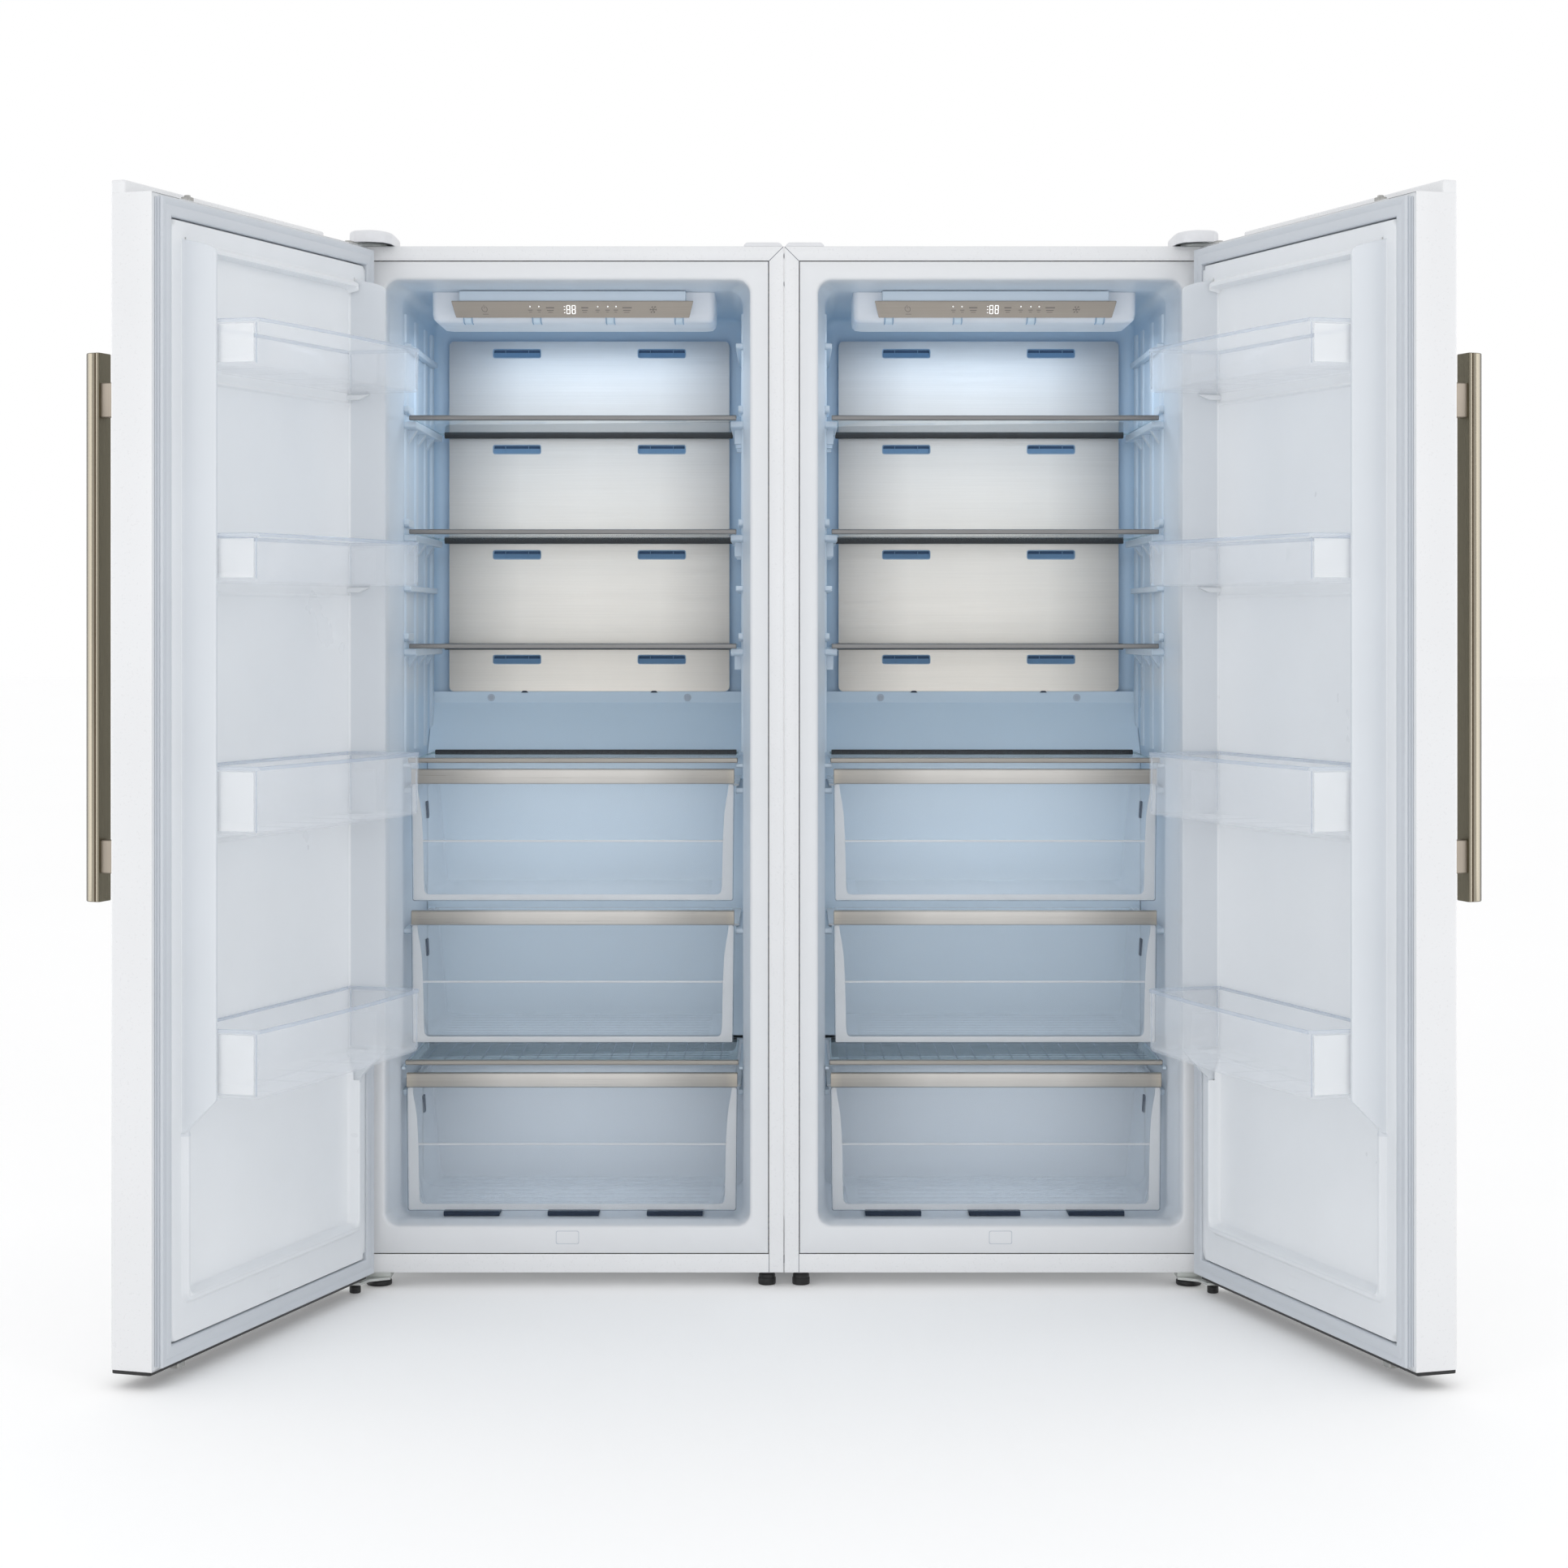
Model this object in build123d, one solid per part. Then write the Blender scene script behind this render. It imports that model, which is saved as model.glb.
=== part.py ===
from build123d import *
import math
import os

# A matched pair of single-door column refrigerators joined side by side, so that the pair
# opens from the middle like one french door refrigerator. The left unit is modelled with
# X from -W to 0 and the right unit is its mirror image about X = 0.
# Working frame while modelling: X right, Y into the cabinet with Y = 0 at the cabinet's
# front plane, Z up from the floor. Everything is moved by FRONT_Y at the end, so that the
# pair with its doors open stands centred on the origin.

# ------------------------------------------------------------------ driving dimensions (mm)
W = 710.0              # width of one unit
CAB_DEPTH = 650.0      # cabinet depth, front plane to rear panel
CAB_Z0 = 25.0          # underside of the cabinet
CAB_Z1 = 1708.0        # top of the cabinet
SKIN = 1.0             # steel sheet
LINER = 2.0            # thermoformed liner
FLANGE = 24.0          # width of the steel frame seen from the front
FRAME_Z0 = 56.0        # top of the steel strip under the liner flange
FRONT_Y = 21.9         # shift that centres the open pair on the origin

OPEN_SIDE = 56.0       # side of the opening, measured from the unit's side
OPEN_Z0, OPEN_Z1 = 102.0, 1652.5
CAV_SIDE = 69.0        # side of the cavity behind the bevel
CAV_Z0, CAV_Z1 = 92.0, 1648.0
BEVEL_Y0, BEVEL_Y1 = 60.0, 130.0
CAV_BACK = 600.0
HUMP_Y, HUMP_Z = 425.0, 345.0     # step over the machine compartment

PIN_D = 12.0           # door pin, from the unit's side
PIN_Y = -32.0
OPEN_DEG = 108.0       # door angle at rest
PIN_R = 5.0
PIN_HOLE_R = 5.35

DOOR_X0, DOOR_X1 = -709.0, -1.5
DOOR_Y_IN, DOOR_Y_OUT = -14.5, -80.5
DOOR_Z0, DOOR_Z1 = 26.0, 1703.0
LIP_Z = 1721.0         # raised front lip along the top of the door
LIP_DEPTH = 23.0
GASKET_W = 27.0
GASKET_Y = -0.5
DYKE_TOP, DYKE_BOTTOM = 1640.0, 360.0
DYKE_H = 51.5          # top of the dykes, beyond the cabinet's front plane

BIN_D = 77.5           # end of a door bin, from the door's edge
BIN_FRONT = 120.5
BINS = [(1457.0, 1527.0), (1148.0, 1219.0), (784.0, 884.0), (407.0, 507.0)]
BIN_T = 2.6

SHELF_Z = [1431.0, 1239.5, 1047.0]      # underside of each shelf
SHELF_W, SHELF_Y0, SHELF_Y1 = 550.0, 130.0, 574.0

HANDLE_Z0, HANDLE_Z1 = 689.0, 1478.0
HANDLE_W, HANDLE_T, HANDLE_OUT = 34.0, 22.0, 60.0
HANDLE_IN = 40.0       # bar centre, from the door's free edge
POSTS = [(1385.0, 1435.0), (730.0, 778.0)]

# drawer: front plane Y, side inset of the front, bottom z, trim z0, trim z1, back Y
DRAWERS = [
    (130.0, 83.5, 623.0, 820.0, 845.0, 486.0),
    (130.0, 83.5, 384.0, 583.0, 607.0, 486.0),
    (110.0, 78.0, 106.0, 313.0, 337.0, 412.0),
]
PANEL_W, PANEL_Z0, PANEL_Z1, PANEL_Y = 511.0, 966.0, 1604.0, 586.0
VENT_Z = [1582.0, 1407.0, 1215.0, 1024.0]
VENT_W, VENT_H, VENT_X = 85.0, 14.0, 132.0

XC = -W / 2.0
os.makedirs("parts", exist_ok=True)


# ------------------------------------------------------------------ helpers
def box(x0, x1, y0, y1, z0, z1):
    return Pos((x0 + x1) / 2, (y0 + y1) / 2, (z0 + z1) / 2) * Box(abs(x1 - x0), abs(y1 - y0), abs(z1 - z0))


def prism_z(pts, z0, z1):
    f = make_face(Polyline(*[(x, y, z0) for x, y in pts], close=True))
    return extrude(f, amount=z1 - z0, dir=(0, 0, 1))


def prism_x(pts, x0, x1):
    f = make_face(Polyline(*[(x0, y, z) for y, z in pts], close=True))
    return extrude(f, amount=x1 - x0, dir=(1, 0, 0))


def prism_y(pts, y0, y1):
    f = make_face(Polyline(*[(x, y0, z) for x, z in pts], close=True))
    return extrude(f, amount=y1 - y0, dir=(0, 1, 0))


def rrect_face(x0, x1, z0, z1, r, y):
    pl = Plane(origin=((x0 + x1) / 2, y, (z0 + z1) / 2), x_dir=(1, 0, 0), z_dir=(0, 1, 0))
    return pl * RectangleRounded(x1 - x0, z1 - z0, r)


def rrect_y(x0, x1, z0, z1, r, y0, y1):
    return extrude(rrect_face(x0, x1, z0, z1, r, y0), amount=y1 - y0, dir=(0, 1, 0))


def rrect_z(x0, x1, y0, y1, r, z0, z1):
    pl = Plane(origin=((x0 + x1) / 2, (y0 + y1) / 2, z0), x_dir=(1, 0, 0), z_dir=(0, 0, 1))
    return extrude(pl * RectangleRounded(x1 - x0, y1 - y0, r), amount=z1 - z0, dir=(0, 0, 1))


def cyl_z(x, y, r, z0, z1):
    return Pos(x, y, (z0 + z1) / 2) * Cylinder(r, z1 - z0)


def cyl_y(x, z, r, y0, y1):
    return Pos(x, (y0 + y1) / 2, z) * Rot(90, 0, 0) * Cylinder(r, y1 - y0)


def cyl_x(y, z, r, x0, x1):
    return Pos((x0 + x1) / 2, y, z) * Rot(0, 90, 0) * Cylinder(r, x1 - x0)


def solids(shapes):
    out = []
    for s in shapes if isinstance(shapes, (list, tuple)) else [shapes]:
        out += list(s.solids())
    return out


def swing(shapes):
    """A closed door's piece at the rest angle, about the hinge pin."""
    px = -W + PIN_D
    loc = Pos(px, PIN_Y, 0) * Rot(0, 0, -OPEN_DEG) * Pos(-px, -PIN_Y, 0)
    return [loc * s for s in solids(shapes)]


def mirrored(shapes):
    return [mirror(s, about=Plane.YZ) for s in solids(shapes)]


def save(name, shapes):
    moved = [Pos(0, FRONT_Y, 0) * s for s in solids(shapes)]
    export_step(Compound(children=moved) if len(moved) > 1 else moved[0], "parts/" + name + ".step")
    for m in moved:
        BOXES.append((name, m.bounding_box()))


BOXES = []


# ------------------------------------------------------------------ cabinet shell
def cabinet_shell():
    out = box(-W + 0.5, -0.5, 0, CAB_DEPTH, CAB_Z0, CAB_Z1)
    out = fillet(out.edges().filter_by(Axis.Z).group_by(Axis.Y)[0], 2.5)
    shell = out - box(-W + 0.5 + SKIN, -0.5 - SKIN, SKIN, CAB_DEPTH - SKIN, CAB_Z0 + SKIN, CAB_Z1 - SKIN)
    shell -= box(-W + 0.5 + FLANGE, -0.5 - FLANGE, -1, SKIN + 1, FRAME_Z0, CAB_Z1 - FLANGE)
    # open machine compartment, below and behind
    shell -= box(-W + 68, -68, 470, CAB_DEPTH + 5, CAB_Z0 - 5, 302)
    return shell


# ------------------------------------------------------------------ liner
def cavity(o=0.0):
    """The liner's inner space (o = 0) or its outer shape (o = LINER)."""
    r = 22.0 + o
    front0 = -1.0 if o == 0 else 0.0
    fx0, fx1, fz0, fz1 = -W + OPEN_SIDE - o, -OPEN_SIDE + o, OPEN_Z0 - o, OPEN_Z1 + o
    rx0, rx1, rz0, rz1 = -W + CAV_SIDE - o, -CAV_SIDE + o, CAV_Z0 - o, CAV_Z1 + o
    front = rrect_y(fx0, fx1, fz0, fz1, r, front0, BEVEL_Y0)
    mid = loft([rrect_face(fx0, fx1, fz0, fz1, r, BEVEL_Y0), rrect_face(rx0, rx1, rz0, rz1, r, BEVEL_Y1)], ruled=True)
    rear = rrect_y(rx0, rx1, rz0, rz1, r, BEVEL_Y1, CAV_BACK + o)
    hump = prism_x(
        [(HUMP_Y + o, 60), (CAV_BACK + 20, 60), (CAV_BACK + 20, HUMP_Z - o), (HUMP_Y + 45 + o * 0.6, HUMP_Z - o), (HUMP_Y + o, HUMP_Z - 45 - o * 0.6)],
        -W + 20, -20,
    )
    return front + mid + rear - hump


def inner_liner():
    body = cavity(LINER)
    body += box(-W + 0.5 + FLANGE + 0.8, -0.5 - FLANGE - 0.8, 0, LINER, FRAME_Z0 + 0.8, CAB_Z1 - FLANGE - 0.8)
    liner = body - cavity(0)
    for side in (0, 1):
        # a bearing ledge under each shelf and an anti-tip stub above it
        for z in SHELF_Z:
            liner += side_rib(side, 21.0, z - 12.5, z - 0.5, 150.0, 560.0)
            liner += side_rib(side, 8.0, z + 12.0, z + 26.0, 150.0, 230.0)
        # spare shelf levels
        for z in (1562.0, 1153.0):
            liner += side_rib(side, 12.0, z - 10.0, z, 150.0, 560.0)
        # ledge under the crisper cover and under the cover of the lowest drawer
        liner += side_rib(side, 12.0, 846.5, 853.5, 140.0, 486.0)
        liner += side_rib(side, 6.5, 341.0, 346.5, 118.0, 415.0)
        # drawer runners
        liner += side_rib(side, 12.5, 802.0, 812.0, 150.0, 470.0)
        liner += side_rib(side, 12.5, 565.0, 575.0, 150.0, 470.0)
        liner += side_rib(side, 7.0, 295.0, 305.0, 140.0, 405.0)
    return liner


def side_rib(side, depth, z0, z1, y0, y1):
    xa, xb = -W + CAV_SIDE - 0.6, -W + CAV_SIDE + depth
    if side:
        xa, xb = -CAV_SIDE - depth, -CAV_SIDE + 0.6
    pts = [(y0, z0 + (z1 - z0) * 0.35), (y0 + (z1 - z0) * 0.5, z0), (y1, z0), (y1, z1), (y0, z1)]
    return prism_x(pts, xa, xb)


# ------------------------------------------------------------------ insulation
def foam():
    g = 0.3
    xi0, xi1 = -W + 0.5 + SKIN + g, -0.5 - SKIN - g
    z0, z1 = CAB_Z0 + SKIN + g, CAB_Z1 - SKIN - g
    f = OPEN_SIDE - LINER - g          # inner face of the front side slabs, from the side
    c = CAV_SIDE - LINER - g
    out = [
        box(xi0, -W + f, LINER + g, BEVEL_Y0, z0, z1),
        box(-f, xi1, LINER + g, BEVEL_Y0, z0, z1),
        prism_z([(xi0, 60.3), (-W + f, 60.3), (-W + c, 131), (-W + c, 602.3), (xi0, 602.3)], z0, z1),
        prism_z([(xi1, 60.3), (-f, 60.3), (-c, 131), (-c, 602.3), (xi1, 602.3)], z0, z1),
        box(-W + f + g, -f - g, LINER + g, BEVEL_Y0, OPEN_Z1 + LINER + g, z1),
        box(-W + c + g, -c - g, BEVEL_Y0 + g, 602.3, OPEN_Z1 + LINER + g, z1),
        box(-W + f + g, -f - g, LINER + g, BEVEL_Y0, z0, OPEN_Z0 - LINER - g),
        box(-W + c + g, -c - g, BEVEL_Y0 + g, HUMP_Y + LINER, z0, CAV_Z0 - LINER - g),
        box(xi0, xi1, 602.6, CAB_DEPTH - SKIN - g, 344.0, z1),
        box(-W + c + g, -c - g, HUMP_Y + LINER + g, 467.5, z0, 296.0),
        box(-W + c + g, -c - g, 473.0, 602.3, 302.5, HUMP_Z - LINER - g - 0.6),
    ]
    return out


# ------------------------------------------------------------------ back of the cavity
def duct_panel():
    p = rrect_y(XC - PANEL_W / 2, XC + PANEL_W / 2, PANEL_Z0, PANEL_Z1, 9.0, PANEL_Y, PANEL_Y + 2.0)
    p -= box(XC - PANEL_W, XC + PANEL_W, PANEL_Y - 1, PANEL_Y + 3, PANEL_Z0 - 5, PANEL_Z0)
    for z in VENT_Z:
        for s in (-1, 1):
            x = XC + s * VENT_X
            p -= rrect_y(x - VENT_W / 2, x + VENT_W / 2, z - VENT_H / 2, z + VENT_H / 2, 3.0, PANEL_Y - 1, PANEL_Y + 3)
    return p


def duct_body():
    p = rrect_y(XC - PANEL_W / 2 + 4, XC + PANEL_W / 2 - 4, PANEL_Z0 + 1, PANEL_Z1 - 4, 8.0, PANEL_Y + 2.0, CAV_BACK - 0.2)
    p -= box(XC - 140, XC + 140, PANEL_Y + 7.5, CAV_BACK + 1, PANEL_Z0 - 1, PANEL_Z1 - 12)
    for z in VENT_Z:
        for s in (-1, 1):
            x = XC + s * VENT_X
            p -= box(x - VENT_W / 2 - 1, x + VENT_W / 2 + 1, PANEL_Y + 1, CAV_BACK - 4, z - VENT_H / 2 - 1, z + VENT_H / 2 + 1)
    return p


def evaporator_cover():
    t = 2.5
    pts = [(586, 965.5), (586, 945), (500, 862), (500, 350), (500 + t, 350), (500 + t, 861), (586 + t, 944), (586 + t, 965.5)]
    c = prism_x(pts, -W + CAV_SIDE + 1.0, -CAV_SIDE - 1.0)
    for s in (-1, 1):
        c -= cyl_y(XC + s * 179, 954.5, 6.6, 585, 586.8)
        c += cyl_y(XC + s * 179, 954.5, 5.8, 585.6, 587.5)
    return c


def evaporator():
    x0, x1 = XC - 215, XC + 215
    fins = [box(x0 + 12 + i * 21.4, x0 + 13.2 + i * 21.4, 516, 574, 415, 735) for i in range(20)]
    ev = fins[0]
    for f in fins[1:]:
        ev += f
    for i in range(7):
        for y in (530, 560):
            ev += cyl_x(y, 440 + i * 45, 4.0, x0, x1)
    for i in range(6):
        y = 530 if i % 2 else 560
        xa = x0 if i % 2 else x1
        ev += box(xa - 4, xa + 4, y - 4, y + 4, 436 + i * 45, 444 + (i + 1) * 45)
    return ev


def fan_motor():
    m = cyl_y(XC, 805, 17, 574, 592)
    m += cyl_y(XC, 805, 3.0, 560, 575)
    m += box(XC - 75, XC + 75, 592, 599.5, 797, 813)
    return m


def fan_rotor():
    hub = cyl_y(XC, 805, 19, 545, 567)
    hub -= cyl_y(XC, 805, 3.25, 559.5, 568)
    out = hub
    for k in range(7):
        blade = Pos(37, 0, 0) * Rot(32, 0, 0) * Box(44, 1.8, 26)
        out += Pos(XC, 556, 805) * Rot(0, k * 360.0 / 7, 0) * blade
    return out


# ------------------------------------------------------------------ machine compartment
def base_pan():
    """Floor pan, bulkhead and roof of the machine compartment."""
    x0, x1 = -W + 69, -69
    return [
        box(x0, x1, 472.2, 646, 25, 27),
        box(x0, x1, 470.4, 472.0, 25, 301.7),
        box(x0, x1, 472.2, 646, 300, 301.7),
    ]


def compressor():
    x, y = -225.0, 560.0
    prof = [(0, 45), (70, 45), (78, 60), (78, 160), (70, 182), (45, 196), (0, 200)]
    f = make_face(Polyline(*[(x + a, y, z) for a, z in prof], close=True))
    c = revolve(f, axis=Axis((x, y, 0), (0, 0, 1)), revolution_arc=360)
    c += box(x - 86, x + 86, y - 70, y + 70, 39, 47)
    for sx in (-1, 1):
        for sy in (-1, 1):
            c += cyl_z(x + sx * 74, y + sy * 58, 9, 27.2, 41)
    c += cyl_z(x - 50, y + 20, 5, 150, 235)
    c += cyl_z(x + 50, y + 20, 4, 150, 235)
    return c


def condenser():
    ev = box(-560, -558.5, 500, 620, 45, 255)
    for i in range(1, 9):
        ev += box(-560 + i * 22, -558.5 + i * 22, 500, 620, 45, 255)
    for j in range(4):
        ev += cyl_x(520 + j * 27, 70 + j * 45, 3.5, -568, -376)
        ev += cyl_x(520 + j * 27, 115 + j * 30, 3.5, -568, -376)
    ev += box(-566, -370, 604, 608, 30, 45)
    ev += box(-566, -370, 512, 516, 27.2, 46)
    return ev


def rear_cover():
    c = rrect_y(-W + 69, -69, 27.5, 299.5, 6.0, 646.6, 648.2)
    for i in range(9):
        for s in (-1, 1):
            c -= box(XC + s * 150 - 80, XC + s * 150 + 80, 640, 652, 90 + i * 20, 96 + i * 20)
    gx, gz = -120.0, 60.0
    c += cyl_y(gx, gz, 11, 640, 652)
    c += cyl_y(gx, gz, 7.5, 650, 656)
    c -= cyl_y(gx, gz, 4.2, 630, 660)
    return c


# ------------------------------------------------------------------ lamp and control panel
def ceiling_lamp():
    pts = [(146, 1647.5), (152, 1600), (158, 1597), (322, 1597), (332, 1604), (338, 1647.5)]
    lamp = prism_x(pts, XC - 238, XC + 238)
    return lamp


def control_panel():
    face = [(118, 1629), (131, 1603), (133.5, 1604.2), (121, 1630)]
    panel = prism_x(face, XC - 203, XC + 203)
    # the face narrows towards its lower edge
    for s in (-1, 1):
        cut = prism_y([(XC + s * 203.5, 1598), (XC + s * 196, 1598), (XC + s * 203.5, 1631)], 110, 140)
        panel -= cut
    body = prism_x([(121.2, 1629.5), (133.6, 1604.5), (145.5, 1604.5), (145.5, 1647.5), (121.2, 1647.5)], XC - 190, XC + 190)
    return [panel + body]


# ------------------------------------------------------------------ glass covers over the drawers
def drawer_covers():
    glass = [
        box(XC - 274, XC + 274, 139, 484, 856.0, 860.0),
        box(XC - 276, XC + 276, 119, 406.3, 350.5, 354.5),
    ]
    trims = [
        front_trim(XC - 277, XC + 277, 130.0, 855.0, 863.5, 856.0, 860.0),
        rear_trim(XC - 270, XC + 270, 482.0, 854.5, 863.5, 856.0, 860.0),
        front_trim(XC - 279, XC + 279, 110.0, 350.0, 358.0, 350.5, 354.5),
        rear_trim(XC - 272, XC + 272, 404.0, 349.5, 357.0, 350.5, 354.5),
    ]
    return glass, trims


def front_trim(x0, x1, y, z0, z1, g0, g1):
    t = box(x0, x1, y, y + 13, z0, z1)
    t = fillet(t.edges().filter_by(Axis.X).group_by(Axis.Y)[0], 1.6)
    return t - box(x0 - 1.0, x1 + 1.0, y + 8.5, y + 14, g0 - 0.1, g1 + 0.1)


def rear_trim(x0, x1, y, z0, z1, g0, g1):
    t = box(x0, x1, y, y + 10, z0, z1)
    return t - box(x0 - 5, x1 + 5, y - 1, y + 2.5, g0 - 0.1, g1 + 0.1)


def shelf(z):
    x0, x1 = XC - SHELF_W / 2, XC + SHELF_W / 2
    glass = box(x0 + 3, x1 - 3, SHELF_Y0 + 9, SHELF_Y1 - 8, z + 0.5, z + 4.5)
    front = front_trim(x0, x1, SHELF_Y0, z, z + 8.5, z + 0.5, z + 4.5)
    back = rear_trim(XC - 262, XC + 262, SHELF_Y1 - 10.5, z - 5.0, z + 6.5, z + 0.5, z + 4.5)
    return [glass, front, back]


# ------------------------------------------------------------------ drawers
def drawer(k):
    y0, inset, z0, t0, t1, y1 = DRAWERS[k]
    x0, x1 = -W + inset, -inset
    t = 3.0
    draft = 17.0 if k < 2 else 21.0
    top = t0 - 2.0

    def tub(o):
        low = Plane(origin=(XC, 0, z0 + 4 + o), x_dir=(1, 0, 0), z_dir=(0, 0, 1))
        hi = Plane(origin=(XC, 0, top + (o and 1.0)), x_dir=(1, 0, 0), z_dir=(0, 0, 1))
        w_top = (x1 - x0) - 8 - 2 * o
        w_low = w_top - 2 * draft
        yb_top, yb_low = y1 - o, y1 - 10 - o
        ya = y0 + 2 + o
        a = low * Pos(0, (ya + yb_low) / 2) * RectangleRounded(w_low, yb_low - ya, 9.0 - o)
        b = hi * Pos(0, (ya + yb_top) / 2) * RectangleRounded(w_top, yb_top - ya, 9.0 - o)
        return loft([a, b], ruled=True)

    body = tub(0)
    # rim flange that hangs on the runners, and the taller front
    fl = 76.0 if k < 2 else 72.5
    body += box(-W + fl, -fl, y0 + 26, y1 - 2, top - 4, top)
    body += rrect_y(x0, x1, z0, t1, 4.0, y0 + 1.6, y0 + 5.6)
    body -= tub(t)
    # the front's upper edge is rebated for the metal strip
    body -= box(x0 - 1, x1 + 1, y0 - 1, y0 + 3.0, t0 - 0.2, t1 + 1)
    body -= box(x0 - 1, x1 + 1, y0 - 1, y0 + 7.0, t1 - 1.7, t1 + 1)
    # front face ribs across the floor
    for i in range(6):
        y = y0 + 60 + i * 42
        if y < y1 - 40:
            body += box(XC - 235 + (k == 2) * 5, XC + 235 - (k == 2) * 5, y, y + 2.0, z0 + 6.5, z0 + 8.2)
    return body


def drawer_trim(k):
    y0, inset, z0, t0, t1, y1 = DRAWERS[k]
    x0, x1 = -W + inset, -inset
    pts = [(y0 + 1.2, t0), (y0 + 2.9, t0), (y0 + 2.9, t1 - 1.6), (y0 + 9.5, t1 - 1.6), (y0 + 9.5, t1), (y0 + 1.6, t1), (y0, t1 - 1.6), (y0, t0 + 1.5)]
    return prism_x(pts, x0, x1)


# ------------------------------------------------------------------ door
def dyke_pts(o, base):
    """Dyke section: (distance from the door's edge, Y)."""
    return [
        (62.0 + o, base), (65.5 + o, 34.0), (67.5 + o, DYKE_H - 5.5 - o * 0.6), (69.6 + o * 0.5, DYKE_H - 1.2 - o),
        (71.2, DYKE_H - o), (72.6 - o * 0.5, DYKE_H - 0.8 - o), (74.4 - o, DYKE_H - 5.0 - o * 0.6), (75.3 - o, 36.0), (75.5 - o, base),
    ]


def dykes(o, base):
    out = []
    z0, z1 = DYKE_BOTTOM + o, DYKE_TOP - o
    # lower end slopes at 45 degrees, upper end is rounded off
    side = [(base - 1, z0), (-2.5, z0), (DYKE_H + 1 - o, z0 + 44), (DYKE_H + 1 - o, z1 - 24), (DYKE_H - 9 - o, z1 - 6), (DYKE_H - 24 - o, z1), (base - 1, z1)]
    keep = prism_x(side, -W - 20, 20)
    for s in (0, 1):
        pts = [((DOOR_X0 + d) if s == 0 else (DOOR_X1 - d), y) for d, y in dyke_pts(o, base)]
        out.append(prism_z(pts, DYKE_BOTTOM - 10, DYKE_TOP + 10) & keep)
    return out


def pin_holes(shape):
    px = -W + PIN_D
    shape = shape - cyl_z(px, PIN_Y, PIN_HOLE_R, 1670, 1725)
    return shape - cyl_z(px, PIN_Y, PIN_HOLE_R, 10, 62)


def door_skin():
    out = box(DOOR_X0, DOOR_X1, DOOR_Y_OUT, DOOR_Y_IN, DOOR_Z0, DOOR_Z1)
    out = fillet(out.edges().filter_by(Axis.Z).group_by(Axis.Y)[0], 3.0)
    lip = box(DOOR_X0 + 74, DOOR_X1 - 0.5, DOOR_Y_OUT, DOOR_Y_OUT + LIP_DEPTH, DOOR_Z1 - 2, LIP_Z)
    lip = fillet(lip.edges().filter_by(Axis.X).group_by(Axis.Z)[-1], 3.0)
    skin = out + lip
    skin -= box(DOOR_X0 + SKIN, DOOR_X1 - SKIN, DOOR_Y_OUT + SKIN, DOOR_Y_IN + 1, DOOR_Z0 + SKIN, DOOR_Z1 - SKIN)
    skin -= box(DOOR_X0 + 76, DOOR_X1 - 2.5, DOOR_Y_OUT + 2, DOOR_Y_OUT + LIP_DEPTH - 2, DOOR_Z1 - 3, LIP_Z - 2)
    return pin_holes(skin)


def door_liner():
    e = 1.3
    plate = box(DOOR_X0 + e, DOOR_X1 - e, DOOR_Y_IN - LINER, DOOR_Y_IN, DOOR_Z0 + e, DOOR_Z1 - e)
    gi = 6.0 + GASKET_W + 0.4
    field = rrect_y(DOOR_X0 + gi, DOOR_X1 - gi, 26 + gi, 1703 - gi, 10, DOOR_Y_IN - LINER, -2.5)
    rim = rrect_y(DOOR_X0 + 64, DOOR_X1 - 64, 110, 1640, 20, -4, 6.5)
    body = plate + field + rim
    for d in dykes(0, -10.0):
        body += d
    body -= rrect_y(DOOR_X0 + 75.5, DOOR_X1 - 75.5, 122, 1629, 14, -12.5, 60)
    # foam side of the liner
    inner = rrect_y(DOOR_X0 + gi + 2, DOOR_X1 - gi - 2, 28 + gi, 1701 - gi, 9, DOOR_Y_IN - LINER - 1, -4.5)
    inner += rrect_y(DOOR_X0 + 66, DOOR_X1 - 66, 112, 1638, 18, -8, 4.5)
    for d in dykes(2.0, -10.0):
        inner += d
    inner -= rrect_y(DOOR_X0 + 73.5, DOOR_X1 - 73.5, 120, 1631, 16, -14.5, 70)
    body -= inner
    # seats under each bin: a line across the recess and a boss on each dyke
    for b0, b1 in BINS:
        body += box(DOOR_X0 + 75, DOOR_X1 - 75, -13, -10.2, b0 - 17, b0 - 13)
        for s in (0, 1):
            xa, xb = (DOOR_X0 + 75.0, DOOR_X0 + 83.0) if s == 0 else (DOOR_X1 - 83.0, DOOR_X1 - 75.0)
            body += prism_x([(-13, b0 - 9), (8, b0 - 9), (26, b0 - 0.6), (-13, b0 - 0.6)], xa, xb)
    return pin_holes(body)


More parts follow.
